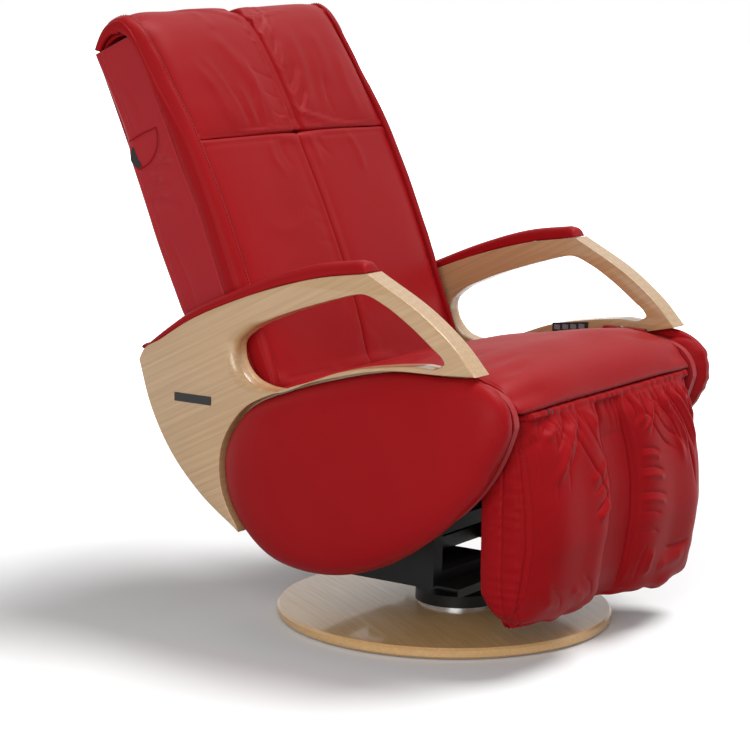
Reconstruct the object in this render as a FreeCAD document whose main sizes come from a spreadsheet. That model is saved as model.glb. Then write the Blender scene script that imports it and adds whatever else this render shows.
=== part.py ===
import FreeCAD, Part
import math
import os
import Sketcher
from types import SimpleNamespace

# Reflexology chair: a swivelling massage recliner with bentwood arms, on a round
# wooden foot. Millimetres, +Z up. The origin is on the floor under the centre of the
# foot. The sitter faces -Y, and the sitter's left is +X.

# Driving dimensions, in the order in which the chair is built up from the floor.
SIZES = (
    # round foot
    ("felt_radius", 285.0),
    ("felt_thick", 3.0),
    ("base_radius", 305.0),
    ("base_rim", 19.0),
    ("base_crown", 8.0),
    ("base_flat_radius", 112.0),
    ("base_edge", 4.0),
    # swivel
    ("swivel_forward", 30.0),
    ("flange_radius", 73.0),
    ("flange_thick", 5.0),
    ("flange_screw_circle", 38.0),
    ("flange_screw_radius", 3.0),
    ("flange_screw_length", 20.0),
    ("screw_head_radius", 5.0),
    ("screw_head_height", 2.5),
    ("ball_radius", 4.0),
    ("ball_circle", 60.0),
    ("groove_depth", 1.5),
    ("drum_radius", 78.0),
    ("drum_height", 21.0),
    ("drum_skirt", 4.0),
    ("drum_gap", 1.0),
    ("drum_wall", 3.0),
    ("spindle_radius", 20.0),
    ("spindle_height", 33.0),
    ("nut_radius", 28.0),
    ("nut_height", 8.0),
    ("column_radius", 45.0),
    ("column_bore", 32.0),
    ("column_height", 42.0),
    ("top_plate_side", 180.0),
    ("top_plate_thick", 6.0),
    ("bolt_radius", 5.0),
    ("bolt_head_radius", 8.5),
    ("bolt_head_height", 6.5),
    ("bolt_length", 19.0),
    ("bolt_spacing", 70.0),
    # steel chassis
    ("chassis_half", 200.0),
    ("chassis_front", 105.0),
    ("chassis_rear", 200.0),
    ("tube_side", 25.0),
    ("mid_member", 35.0),
    ("front_post_drop", 38.0),
    ("rear_post_drop", 93.0),
    ("ear_foot_drop", 70.0),
    ("crossbar_height", 197.0),
    ("side_plate_thick", 3.0),
    ("side_plate_rear", 215.0),
    ("ear_radius", 20.0),
    ("tray_reach", 51.0),
    ("tray_thick", 3.0),
    ("tray_rise", 7.0),
    ("tray_lip", 12.0),
    ("carry_radius", 15.0),
    ("carry_front", 60.0),
    ("carry_front_height", 200.0),
    ("carry_rear", 125.0),
    ("carry_rear_height", 235.0),
    ("carry_flange_radius", 30.0),
    ("carry_flange_thick", 4.0),
    # seat
    ("pan_front", 250.0),
    ("pan_rear", 168.0),
    ("pan_drop", 26.0),
    ("pan_thick", 12.0),
    ("pan_half", 290.0),
    ("seat_half", 300.0),
    ("seat_front", 328.0),
    ("seat_rear", 160.0),
    ("seat_lip_height", 454.0),
    ("seat_rise", 68.0),
    ("seat_fall", 3.0),
    ("seat_crown", 7.0),
    # sides
    ("board_inner", 310.0),
    ("board_thick", 15.0),
    ("arm_thick", 45.0),
    ("arm_rabbet", 20.0),
    ("arm_front", 283.0),
    ("arm_length", 698.0),
    ("arm_foot", 191.0),
    ("arm_height", 480.0),
    ("arm_pad_gap", 0.3),
    ("arm_pad_inset", 2.5),
    ("arm_pad_round", 7.0),
    ("pod_front", 356.0),
    ("pod_length", 586.0),
    ("pod_drop", 53.0),
    ("pod_bulge", 30.0),
    ("arm_bolt_radius", 4.0),
    ("arm_bolt_depth", 18.0),
    ("arm_bolt_head_radius", 7.0),
    ("arm_bolt_head_height", 4.5),
    ("name_plate_long", 80.0),
    ("name_plate_tall", 15.0),
    ("name_plate_thick", 1.5),
    ("name_plate_middle", 293.0),
    ("keypad_front", 103.0),
    ("keypad_long", 75.0),
    ("keypad_fall", 8.5),
    ("keypad_tall", 16.0),
    ("keypad_thick", 5.0),
    ("button_long", 12.0),
    ("button_tall", 9.0),
    ("button_pitch", 17.5),
    ("button_proud", 1.7),
    ("button_deep", 2.5),
    ("button_well", 4.0),
    ("button_gap", 0.5),
    # backrest, in its own frame: up the back, and forward out of it
    ("back_pivot_y", 200.0),
    ("back_pivot_height", 405.0),
    ("back_tilt", 25.0),
    ("back_half", 303.0),
    ("back_low", 30.0),
    ("back_seam", 476.0),
    ("back_shoulder", 698.0),
    ("back_top", 752.0),
    ("pad_rear", 26.0),
    ("pad_front", 73.0),
    ("panel_thick", 15.0),
    ("pocket_front", 24.0),
    ("pocket_deep", 36.0),
    ("pocket_low", 482.0),
    ("pocket_tall", 56.0),
    ("cover_front", 68.0),
    ("cover_thick", 12.0),
    ("frame_rear", 60.0),
    ("frame_low", 60.0),
    ("frame_top", 690.0),
    ("frame_reach", 287.7),
    ("upright_outer", 206.0),
    ("hinge_arm_thick", 6.0),
    ("hinge_arm_top", 150.0),
    ("hinge_pin_radius", 6.0),
    ("hinge_pin_overhang", 2.0),
    ("back_lug_rear", 75.0),
    ("back_lug_drop", 85.0),
    ("back_lug_radius", 19.0),
    ("back_lug_bore", 12.5),
    # massage drive in the backrest
    ("rail_inner", 150.0),
    ("rail_width", 20.0),
    ("rail_depth", 30.0),
    ("rail_wall", 2.0),
    ("rail_low", 62.0),
    ("rail_top", 688.0),
    ("slide_gap", 0.3),
    ("screw_middle", 20.0),
    ("lead_screw_radius", 7.0),
    ("journal_radius", 5.0),
    ("screw_block_half", 20.0),
    ("screw_block_tall", 22.0),
    ("screw_motor_radius", 20.0),
    ("screw_motor_length", 40.0),
    ("carriage_middle", 300.0),
    ("carriage_bar_half", 18.0),
    ("carriage_shoe_half", 50.0),
    ("carriage_bar_thick", 12.0),
    ("carriage_nut_half", 16.0),
    ("roller_radius", 22.0),
    ("roller_width", 24.0),
    ("roller_offset", 45.0),
    ("roller_forward", 1.0),
    ("roller_arm_middle", 60.0),
    ("roller_arm_thick", 6.0),
    ("axle_radius", 5.0),
    ("knead_motor_radius", 18.0),
    ("knead_motor_length", 80.0),
    # leg rest
    ("leg_pivot_front", 325.0),
    ("leg_pivot_drop", 10.0),
    ("leg_half", 295.0),
    ("leg_rear", 257.0),
    ("leg_corner", 340.0),
    ("leg_bulge", 35.0),
    ("leg_top_drop", 4.0),
    ("leg_roll_radius", 9.5),
    ("leg_roll_half", 278.0),
    ("leg_notch_gap", 1.0),
    ("leg_foot", 92.0),
    ("leg_slab_back", 330.0),
    ("leg_cavity_half", 272.0),
    ("leg_cavity_foot", 130.0),
    ("leg_plate_back", 307.0),
    ("leg_plate_thick", 3.0),
    ("leg_plate_drop", 48.0),
    ("leg_board_back", 260.0),
    ("leg_board_thick", 8.0),
    ("leg_board_drop", 66.0),
    ("leg_rib_middle", 150.0),
    ("leg_rib_thick", 4.0),
    ("leg_eye_radius", 9.0),
    ("leg_eye_thick", 6.0),
    ("leg_eye_gap", 3.0),
    ("leg_pin_radius", 5.0),
    ("leg_lug_reach", 50.0),
    ("leg_lug_angle", 45.0),
    ("leg_lug_radius", 21.0),
    ("leg_lug_bore", 15.0),
    ("airbag_inner", 25.0),
    ("airbag_outer", 255.0),
    ("airbag_low", 150.0),
    ("airbag_drop", 72.0),
    # actuators
    ("actuator_middle", 60.0),
    ("lug_gap_half", 6.0),
    ("lug_thick", 4.0),
    ("actuator_pin_radius", 4.0),
    ("actuator_eye_radius", 11.0),
    ("actuator_eye_half", 4.5),
    ("gearbox_start", 30.0),
    ("gearbox_long", 50.0),
    ("gearbox_half", 22.0),
    ("actuator_tube_radius", 16.0),
    ("actuator_rod_radius", 9.0),
    ("actuator_motor_radius", 20.0),
    ("actuator_motor_length", 85.0),
    ("back_actuator_pivot_height", 250.0),
    ("back_tube_end", 205.0),
    ("back_rod_start", 171.0),
    ("leg_actuator_forward", 45.0),
    ("leg_tube_end", 255.0),
    ("leg_rod_start", 160.0),
    # electrics under the seat
    ("box_inner", 30.0),
    ("box_outer", 160.0),
    ("box_rear", 195.0),
    ("box_height", 42.0),
    ("pump_inner", 75.0),
    ("pump_outer", 165.0),
    ("pump_height", 58.0),
    ("inlet_half", 20.0),
    ("inlet_middle", 95.0),
    ("inlet_depth", 12.0),
    ("inlet_low", 8.0),
    ("inlet_tall", 28.0),
    ("socket_wall", 6.0),
    ("socket_depth", 8.0),
    # clearances
    ("soft_gap", 0.3),
    ("running_gap", 0.05),
    ("hole_gap", 0.2),
    ("overrun", 1.0),
)

# Counts, and slopes and proportions that have no length of their own.
FLANGE_SCREWS = 4
BALLS = 16
BUTTONS = 4
SEAT_SLOPE_SHARE = 0.198
POD_TALL_SHARE = 0.78125
NAME_PLATE_SHARE = 0.475
KEYPAD_SHARE = 0.67083

DOC = FreeCAD.newDocument("reflexology_chair")
Vector = FreeCAD.Vector


class Size:
    """A named size, or a sum of them: its value, and the same sum in the sheet's names."""

    def __init__(self, value, text):
        self.value = value
        self.text = text

    def __float__(self):
        return float(self.value)

    def joined(self, other, value, sign):
        return Size(value, "(%s %s %s)" % (self.text, sign, words(other)))

    def __add__(self, other):
        return self.joined(other, self.value + float(other), "+")

    def __sub__(self, other):
        return self.joined(other, self.value - float(other), "-")

    def __mul__(self, other):
        return self.joined(other, self.value * float(other), "*")

    def __truediv__(self, other):
        return self.joined(other, self.value / float(other), "/")

    def __neg__(self):
        return Size(-self.value, "(-1 * %s)" % self.text)

    def __radd__(self, other):
        return Size(float(other) + self.value, "(%s + %s)" % (words(other), self.text))


def words(size):
    """A size, or a plain number, as an expression's words."""
    if isinstance(size, Size):
        return size.text
    return "(%r)" % float(size)


def make_sheet():
    """The spreadsheet of driving dimensions, and the same names as sizes."""
    sheet = DOC.addObject("Spreadsheet::Sheet", "Sizes")
    named = {}
    for row, (name, value) in enumerate(SIZES, start=1):
        sheet.set("A%d" % row, name)
        sheet.set("B%d" % row, str(value))
        sheet.setAlias("B%d" % row, name)
        named[name] = Size(value, "Sizes." + name)
    DOC.recompute()
    return SimpleNamespace(**named)


s = make_sheet()


# Ways of making a piece

def bind(thing, name, size):
    """Ties a property to the sheet, or sets it where the size is a plain number."""
    if isinstance(size, Size):
        thing.setExpression(name, size.text)
    elif float(size) != 0.0:
        thing.setExpression(name, words(size))


def place(thing, x, y, z):
    bind(thing, ".Placement.Base.x", x)
    bind(thing, ".Placement.Base.y", y)
    bind(thing, ".Placement.Base.z", z)


def block(name, low, high):
    """A block between two corners."""
    box = DOC.addObject("Part::Box", name)
    bind(box, "Length", high[0] - low[0])
    bind(box, "Width", high[1] - low[1])
    bind(box, "Height", high[2] - low[2])
    place(box, *low)
    return box


TURNS = {
    "x": FreeCAD.Rotation(Vector(0, 1, 0), 90),
    "y": FreeCAD.Rotation(Vector(-1, 0, 0), 90),
    "z": FreeCAD.Rotation(),
}


def rod(name, axis, start, radius, length):
    """A round bar that runs from its start along the axis."""
    bar = DOC.addObject("Part::Cylinder", name)
    bar.Placement = FreeCAD.Placement(Vector(), TURNS[axis])
    bind(bar, "Radius", radius)
    bind(bar, "Height", length)
    place(bar, *start)
    return bar


def fused(name, parts):
    whole = DOC.addObject("Part::MultiFuse", name)
    whole.Shapes = parts
    return whole


def cut(name, base, tools):
    """The base less the tools."""
    tool = tools[0]
    if len(tools) > 1:
        tool = group(name + "_tools", tools)
    rest = DOC.addObject("Part::Cut", name)
    rest.Base = base
    rest.Tool = tool
    return rest


def group(name, parts):
    """Like pieces that stay separate solids."""
    bundle = DOC.addObject("Part::Compound", name)
    bundle.Links = parts
    return bundle


def solid(name, shape, placement=None):
    """A piece whose shape comes from Part's own functions."""
    piece = DOC.addObject("Part::Feature", name)
    piece.Shape = shape
    if placement is not None:
        piece.Placement = placement
    return piece


class Via:
    """The point that an arc passes through, between two corners of a path."""

    def __init__(self, point):
        self.point = point


def runs_of(path):
    """The closed path's runs: start, the point that an arc passes through or None, stop."""
    runs = []
    start = path[0]
    through = None
    for step in list(path[1:]) + [path[0]]:
        if isinstance(step, Via):
            through = step.point
        else:
            runs.append((start, through, step))
            start = step
            through = None
    return runs


def flat(point):
    return Vector(float(point[0]), float(point[1]), 0)


def draw(sketch, path):
    """Draws a closed path of lines and arcs, each corner bound to its sizes."""
    ends = []
    runs = runs_of(path)
    for start, through, stop in runs:
        forward = True
        if through is None:
            edge = Part.LineSegment(flat(start), flat(stop))
        else:
            chord = flat(stop) - flat(start)
            forward = (flat(through) - flat(start)).cross(chord).z > 0
            first, last = (start, stop) if forward else (stop, start)
            edge = Part.Arc(flat(first), flat(through), flat(last))
        number = sketch.addGeometry(edge)
        ends.append((number, 1, 2) if forward else (number, 2, 1))
    for this, following in zip(ends, ends[1:] + ends[:1]):
        joint = Sketcher.Constraint("Coincident", this[0], this[2], following[0], following[1])
        sketch.addConstraint(joint)
    for (number, first, last), (start, through, stop) in zip(ends, runs):
        for kind, size in zip(("DistanceX", "DistanceY"), start):
            tie = Sketcher.Constraint(kind, -1, 1, number, first, float(size))
            place_tie(sketch, tie, size)


def place_tie(sketch, tie, size):
    number = sketch.addConstraint(tie)
    if isinstance(size, Size):
        sketch.setExpression("Constraints[%d]" % number, size.text)


def ring(sketch, middle, radius):
    """Draws a circle, its middle and radius bound to their sizes."""
    number = sketch.addGeometry(Part.Circle(flat(middle), Vector(0, 0, 1), float(radius)))
    for kind, size in zip(("DistanceX", "DistanceY"), middle):
        place_tie(sketch, Sketcher.Constraint(kind, -1, 1, number, 3, float(size)), size)
    place_tie(sketch, Sketcher.Constraint("Radius", number, float(radius)), radius)


def sketch_on(body, role, offset):
    """A new sketch on one of the body's own origin planes, shifted along its normal."""
    sketch = body.newObject("Sketcher::SketchObject", body.Name + "_sketch")
    plane = [item for item in body.Origin.OriginFeatures if item.Role == role][0]
    sketch.AttachmentSupport = [(plane, "")]
    sketch.MapMode = "FlatFace"
    bind(sketch, ".AttachmentOffset.Base.z", offset)
    return sketch


def add_pad(body, role, offset, depth, path=None, rings=()):
    """Adds material: the path and rings, carried from the offset over the depth."""
    sketch = sketch_on(body, role, offset)
    if path is not None:
        draw(sketch, path)
    for middle, radius in rings:
        ring(sketch, middle, radius)
    pad = body.newObject("PartDesign::Pad", body.Name + "_pad")
    pad.Profile = sketch
    bind(pad, "Length", depth)
    DOC.recompute()
    return pad


def add_pocket(body, role, offset, depth, path=None, rings=()):
    """Takes material away over the depth that follows the offset, and checks that it did."""
    before = body.Shape.Volume
    sketch = sketch_on(body, role, offset)
    if path is not None:
        draw(sketch, path)
    for middle, radius in rings:
        ring(sketch, middle, radius)
    pocket = body.newObject("PartDesign::Pocket", body.Name + "_pocket")
    pocket.Profile = sketch
    pocket.Reversed = True
    bind(pocket, "Length", depth)
    DOC.recompute()
    if body.Shape.Volume >= before:
        raise RuntimeError("a pocket cuts nothing in " + body.Label)
    return pocket


def new_body(name):
    body = DOC.addObject("PartDesign::Body", name)
    body.Label = name
    return body


def plate(name, offset, depth, path=None, rings=(), holes=(), role="YZ_Plane"):
    """A flat plate: an outline carried over its thickness, with round holes through it."""
    body = new_body(name)
    add_pad(body, role, offset, depth, path, rings)
    if holes:
        add_pocket(body, role, offset - s.overrun, depth + s.overrun * 2, rings=holes)
    return body


def wire(path, lift):
    """A closed wire of lines and arcs; lift puts a point of the path into space."""
    edges = []
    for start, through, stop in runs_of(path):
        if through is None:
            edges.append(Part.LineSegment(lift(start), lift(stop)).toShape())
        else:
            edges.append(Part.Arc(lift(start), lift(through), lift(stop)).toShape())
    return Part.Wire(edges)


def across(x):
    """Puts a point of a side view at this place across the chair."""
    return lambda point: Vector(x, float(point[0]), float(point[1]))


def level(z):
    """Puts a point of a top view at this height."""
    return lambda point: Vector(float(point[0]), float(point[1]), z)


def span(side, inner, outer):
    """The low and high place across the chair of a piece on this side."""
    if side > 0:
        return inner, outer
    return -outer, -inner


SIDES = ((1, "left"), (-1, "right"))


def back_placement():
    """From the backrest's own frame, y backward and z up the back, to the chair's."""
    pivot = Vector(0, float(s.back_pivot_y), float(s.back_pivot_height))
    return FreeCAD.Placement(pivot, FreeCAD.Rotation(Vector(-1, 0, 0), float(s.back_tilt)))


def lean(piece):
    """Stands a piece of the backrest on its tilted frame."""
    piece.Placement = back_placement()
    bind(piece, ".Placement.Base.y", s.back_pivot_y)
    bind(piece, ".Placement.Base.z", s.back_pivot_height)
    bind(piece, ".Placement.Rotation.Angle", s.back_tilt)
    return piece


# Heights and places that several pieces share

BASE_TOP = s.felt_thick + s.base_rim + s.base_crown
FLANGE_TOP = BASE_TOP + s.flange_thick
DRUM_LOW = FLANGE_TOP + s.drum_gap
DRUM_TOP = DRUM_LOW + s.drum_height
COLUMN_TOP = DRUM_TOP + s.column_height
CHASSIS_LOW = COLUMN_TOP + s.top_plate_thick
RAIL_TOP = CHASSIS_LOW + s.tube_side
PLATE_OUTER = s.chassis_half + s.side_plate_thick
ARM_INNER = s.board_inner + s.board_thick
ARM_OUTER = ARM_INNER + s.arm_thick
FRAME_FRONT = s.frame_rear - s.tube_side
SEAT_TOP = s.seat_lip_height + s.seat_rise
PAN_FRONT_TOP = s.seat_lip_height - s.pan_drop
LEG_PIVOT = s.seat_lip_height - s.leg_pivot_drop
LEG_TOP = LEG_PIVOT - s.leg_top_drop
POD_FOOT = s.arm_foot - s.pod_drop
POD_TALL = s.arm_height * POD_TALL_SHARE
KEYPAD_TOP = s.arm_foot + s.arm_height * KEYPAD_SHARE


def pan_under(y):
    """The height of the seat pan's underside, which falls towards the back."""
    return PAN_FRONT_TOP - (y + s.pan_front) * SEAT_SLOPE_SHARE


# Round foot and swivel

def make_foot():
    felt = plate("floor_felt", 0, s.felt_thick, rings=[((0, 0), s.felt_radius)], role="XY_Plane")
    disc = new_body("base_disc")
    low = s.felt_thick
    rim = low + s.base_rim
    inset = s.base_radius - s.base_edge
    bow = (s.base_flat_radius + inset) / 2
    bow_height = rim + s.base_crown * 0.62
    profile = [
        (0, low),
        (inset, low),
        (s.base_radius, low + s.base_edge),
        (s.base_radius, rim - s.base_edge),
        (inset, rim),
        Via((bow, bow_height)),
        (s.base_flat_radius, BASE_TOP),
        (0, BASE_TOP),
    ]
    sketch = sketch_on(disc, "XZ_Plane", 0)
    draw(sketch, profile)
    turned = disc.newObject("PartDesign::Revolution", "base_disc_turned")
    turned.Profile = sketch
    turned.ReferenceAxis = (sketch, ["V_Axis"])
    turned.Angle = 360
    DOC.recompute()
    depth = s.flange_screw_length - s.flange_thick + s.overrun
    holes = [(spot, s.flange_screw_radius + s.hole_gap) for spot in flange_spots()]
    add_pocket(disc, "XY_Plane", BASE_TOP - depth, depth + s.overrun, rings=holes)
    return [felt, disc]


def flange_spots():
    """Where the flange's screws stand."""
    spots = []
    for number in range(FLANGE_SCREWS):
        turn = math.radians(45 + 360 * number / FLANGE_SCREWS)
        spots.append((s.flange_screw_circle * math.cos(turn),
                      s.flange_screw_circle * math.sin(turn) - s.swivel_forward))
    return spots


def make_swivel():
    middle = (0, -s.swivel_forward)
    ball_height = FLANGE_TOP - s.groove_depth + s.ball_radius
    disc = rod("flange_disc", "z", (0, -s.swivel_forward, BASE_TOP), s.flange_radius,
               s.flange_thick)
    spindle = rod("flange_spindle", "z", (0, -s.swivel_forward, FLANGE_TOP),
                  s.spindle_radius, s.spindle_height)
    blank = fused("flange_blank", [disc, spindle])
    tools = [groove("flange_groove", ball_height)]
    screws = []
    for number, spot in enumerate(flange_spots()):
        under = BASE_TOP - s.overrun
        tools.append(rod("flange_hole_%d" % number, "z", (spot[0], spot[1], under),
                         s.flange_screw_radius + s.hole_gap, s.flange_thick + s.overrun * 2))
        shank = rod("shank_%d" % number, "z",
                    (spot[0], spot[1], FLANGE_TOP - s.flange_screw_length),
                    s.flange_screw_radius, s.flange_screw_length)
        head = rod("head_%d" % number, "z", (spot[0], spot[1], FLANGE_TOP),
                   s.screw_head_radius, s.screw_head_height)
        screws.append(fused("flange_screw_%d" % number, [shank, head]))
    flange = cut("swivel_flange", blank, tools)
    balls = []
    for number in range(BALLS):
        ball = DOC.addObject("Part::Sphere", "ball_%d" % number)
        bind(ball, "Radius", s.ball_radius)
        turn = 2 * math.pi * number / BALLS
        place(ball, s.ball_circle * math.cos(turn),
              s.ball_circle * math.sin(turn) - s.swivel_forward, ball_height)
        balls.append(ball)
    nut = plate("swivel_nut", DRUM_TOP + s.soft_gap, s.nut_height,
                rings=[(middle, s.nut_radius), (middle, s.spindle_radius + s.running_gap)],
                role="XY_Plane")
    shell = rod("drum_shell", "z", (0, -s.swivel_forward, DRUM_LOW), s.drum_radius,
                s.drum_height)
    skirt = rod("drum_skirt_cut", "z", (0, -s.swivel_forward, DRUM_LOW - s.overrun),
                s.drum_radius - s.drum_wall, s.drum_skirt + s.overrun)
    bore = rod("drum_bore", "z", (0, -s.swivel_forward, DRUM_LOW),
               s.spindle_radius + s.running_gap, s.drum_height + s.overrun)
    drum = cut("swivel_drum", shell, [skirt, bore, groove("drum_groove", ball_height)])
    column = plate("swivel_column", DRUM_TOP, s.column_height,
                   rings=[(middle, s.column_radius), (middle, s.column_bore)],
                   role="XY_Plane")
    return [flange, group("flange_screws", screws), group("bearing_balls", balls), nut,
            drum, column]


def groove(name, height):
    """The round track that the bearing balls run in."""
    track = DOC.addObject("Part::Torus", name)
    bind(track, "Radius1", s.ball_circle)
    bind(track, "Radius2", s.ball_radius + s.running_gap)
    place(track, 0, -s.swivel_forward, height)
    return track


def bolt_spots():
    """Where the top plate is bolted up to the chassis' two middle members."""
    spots = []
    for y in (s.tube_side / 2 - s.chassis_front, s.mid_member + s.tube_side / 2):
        for x in (s.bolt_spacing, -s.bolt_spacing):
            spots.append((x, y))
    return spots


def make_top_plate():
    half = s.top_plate_side / 2
    blank = block("top_plate_blank", (-half, -half - s.swivel_forward, COLUMN_TOP),
                  (half, half - s.swivel_forward, CHASSIS_LOW))
    holes = []
    bolts = []
    for number, (x, y) in enumerate(bolt_spots()):
        holes.append(rod("plate_hole_%d" % number, "z", (x, y, COLUMN_TOP - s.overrun),
                         s.bolt_radius + s.hole_gap, s.top_plate_thick + s.overrun * 2))
        shank = rod("bolt_shank_%d" % number, "z", (x, y, COLUMN_TOP), s.bolt_radius,
                    s.bolt_length)
        head = rod("bolt_head_%d" % number, "z", (x, y, COLUMN_TOP - s.bolt_head_height),
                   s.bolt_head_radius, s.bolt_head_height)
        bolts.append(fused("mounting_bolt_%d" % number, [shank, head]))
    return [cut("top_plate", blank, holes), group("mounting_bolts", bolts)]


# Steel chassis

def make_chassis():
    tube = s.tube_side
    outer = s.chassis_half
    inner = s.chassis_half - tube
    front = -s.chassis_front
    rear = s.chassis_rear
    parts = []
    for side, word in SIDES:
        low, high = span(side, inner, outer)
        parts.append(block("rail_" + word, (low, front, CHASSIS_LOW), (high, rear, RAIL_TOP)))
        parts.append(block("front_post_" + word, (low, front, RAIL_TOP),
                           (high, front + tube, PAN_FRONT_TOP - s.front_post_drop)))
        parts.append(block("rear_post_" + word, (low, rear - tube, RAIL_TOP),
                           (high, rear, PAN_FRONT_TOP - s.rear_post_drop)))
    for number, y in enumerate((front, s.mid_member, rear - tube)):
        parts.append(block("member_%d" % number, (-inner, y, CHASSIS_LOW),
                           (inner, y + tube, RAIL_TOP)))
    parts.append(block("crossbar", (-inner, front, s.crossbar_height),
                       (inner, front + tube, s.crossbar_height + tube)))
    pivot_y = front + tube / 2
    for number, x in enumerate(lug_places(s.actuator_middle)):
        ear_top = s.back_actuator_pivot_height + s.actuator_eye_radius
        parts.append(block("crossbar_ear_%d" % number,
                           (x, front, s.crossbar_height + tube),
                           (x + s.lug_thick, front + tube, ear_top)))
    tools = [rod("crossbar_pin_hole", "x",
                 (s.actuator_middle - s.lug_gap_half * 3, pivot_y,
                  s.back_actuator_pivot_height),
                 s.actuator_pin_radius + s.running_gap, s.lug_gap_half * 6)]
    for number, (x, y) in enumerate(bolt_spots()):
        tools.append(rod("member_hole_%d" % number, "z", (x, y, CHASSIS_LOW - s.overrun),
                         s.bolt_radius + s.hole_gap, s.bolt_length))
    frame = cut("chassis_frame", fused("chassis_blank", parts), tools)
    made = [frame]
    for side, word in SIDES:
        made.append(make_side_plate(side, word))
    made.extend(make_carry_tubes())
    sheet_low = CHASSIS_LOW + s.tray_rise - s.tray_thick
    tray_front = front - s.tray_reach
    tray = fused("chassis_tray", [
        block("tray_sheet", (-outer, tray_front, sheet_low),
              (outer, front, sheet_low + s.tray_thick)),
        block("tray_lip_sheet", (-outer, tray_front, sheet_low - s.tray_lip),
              (outer, tray_front + s.tray_thick, sheet_low)),
    ])
    made.append(tray)
    return made


def lug_places(middle):
    """The low faces of the two plates that hold an actuator's eye between them."""
    return (middle - s.lug_gap_half - s.lug_thick, middle + s.lug_gap_half)


def make_side_plate(side, word):
    """A steel side plate, with the ear that carries the backrest's hinge."""
    low, high = span(side, s.chassis_half, PLATE_OUTER)
    pivot = s.back_pivot_y
    height = s.back_pivot_height
    front = -s.chassis_front
    heel = s.pan_rear + s.overrun
    path = [
        (front, CHASSIS_LOW),
        (s.side_plate_rear, CHASSIS_LOW),
        (s.side_plate_rear, height - s.ear_foot_drop),
        (pivot + s.ear_radius, height),
        Via((pivot, height + s.ear_radius)),
        (pivot - s.ear_radius, height),
        (heel, pan_under(heel)),
        (front, pan_under(front)),
    ]
    holes = [
        ((pivot, height), s.hinge_pin_radius + s.running_gap),
        ((-s.carry_front, s.carry_front_height), s.carry_radius + s.hole_gap),
        ((s.carry_rear, s.carry_rear_height), s.carry_radius + s.hole_gap),
    ]
    return plate("chassis_side_" + word, low, s.side_plate_thick, path, holes=holes)


def make_carry_tubes():
    """The two cross tubes that carry the side boards, the rear one with the leg drive's ears."""
    made = []
    half = s.board_inner
    for word, y, z in (("front", -s.carry_front, s.carry_front_height),
                       ("rear", s.carry_rear, s.carry_rear_height)):
        parts = [rod("carry_%s_bar" % word, "x", (-half, y, z), s.carry_radius, half * 2)]
        for side, hand in SIDES:
            low, high = span(side, half - s.carry_flange_thick, half)
            parts.append(rod("carry_%s_flange_%s" % (word, hand), "x", (low, y, z),
                             s.carry_flange_radius, s.carry_flange_thick))
        if word == "rear":
            reach = s.carry_radius + s.leg_actuator_forward
            for number, x in enumerate(lug_places(-s.actuator_middle)):
                parts.append(block("carry_ear_%d" % number,
                                   (x, y - reach, z - s.actuator_eye_radius),
                                   (x + s.lug_thick, y, z + s.actuator_eye_radius)))
        tube = fused("carry_tube_" + word, parts)
        if word == "rear":
            hole = rod("carry_pin_hole", "x",
                       (-s.actuator_middle - s.lug_gap_half * 3, y - s.leg_actuator_forward, z),
                       s.actuator_pin_radius + s.running_gap, s.lug_gap_half * 6)
            tube = cut("carry_tube_drilled", tube, [hole])
        made.append(tube)
    return [group("cross_tubes", made)]


# Seat

def make_seat_pan():
    front = -s.pan_front
    rear = s.pan_rear
    path = [
        (front, pan_under(front)),
        (rear, pan_under(rear)),
        (rear, pan_under(rear) + s.pan_thick),
        (front, pan_under(front) + s.pan_thick),
    ]
    return [plate("seat_pan", -s.pan_half, s.pan_half * 2, path)]


# Stations across the seat: place as a share of its half width, then how far the top, the
# front and the crown have come, each as a share.
SEAT_STATION_SHARES = (
    (1.00, 0.72, 0.970, 0.00),
    (0.97, 0.90, 0.990, 0.03),
    (0.91, 0.97, 0.997, 0.15),
    (0.80, 1.00, 1.000, 0.36),
    (0.60, 1.00, 1.000, 0.64),
    (0.40, 1.00, 1.000, 0.84),
    (0.20, 1.00, 1.000, 0.96),
    (0.00, 1.00, 1.000, 1.00),
)


def make_seat_cushion():
    """The seat cushion: a long top that rolls over the front edge, drawn in at its sides."""
    front = -float(s.seat_front)
    rear = float(s.seat_rear)
    pan_front = -float(s.pan_front)
    depth = rear - front
    lip = float(s.seat_lip_height)
    gap = float(s.soft_gap)
    under_front = float(pan_under(-s.pan_front) + s.pan_thick) + gap
    under_rear = float(pan_under(s.seat_rear) + s.pan_thick) + gap
    rise = float(SEAT_TOP) - lip
    wires = []
    stations = [(-share, *rest) for share, *rest in SEAT_STATION_SHARES]
    stations += [(share, *rest) for share, *rest in reversed(SEAT_STATION_SHARES[:-1])]
    for place_share, top_share, front_share, crown_share in stations:
        crown = float(s.seat_crown) * crown_share
        nose = front * front_share
        top = lip + rise * top_share + crown
        rear_top = under_rear + (float(s.seat_lip_height - s.seat_fall) - under_rear) * top_share + crown
        path = [
            (rear, under_rear),
            (rear, rear_top),
            Via((front + depth * 0.62, lip + (top - lip) * 0.62 + (rear_top - lip) * 0.34)),
            (front + depth * 0.225, top),
            Via((front + depth * 0.085, lip + (top - lip) * 0.86)),
            (nose + depth * 0.022, lip + (top - lip) * 0.42),
            Via((nose + depth * 0.002, lip + (top - lip) * 0.20)),
            (nose, lip),
            (pan_front, lip),
            (pan_front, under_front),
        ]
        wires.append(wire(path, across(float(s.seat_half) * place_share)))
    return [solid("seat_cushion", Part.makeLoft(wires, True, False))]


# Sides: boards, bentwood arms, arm pads and padded pods

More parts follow.
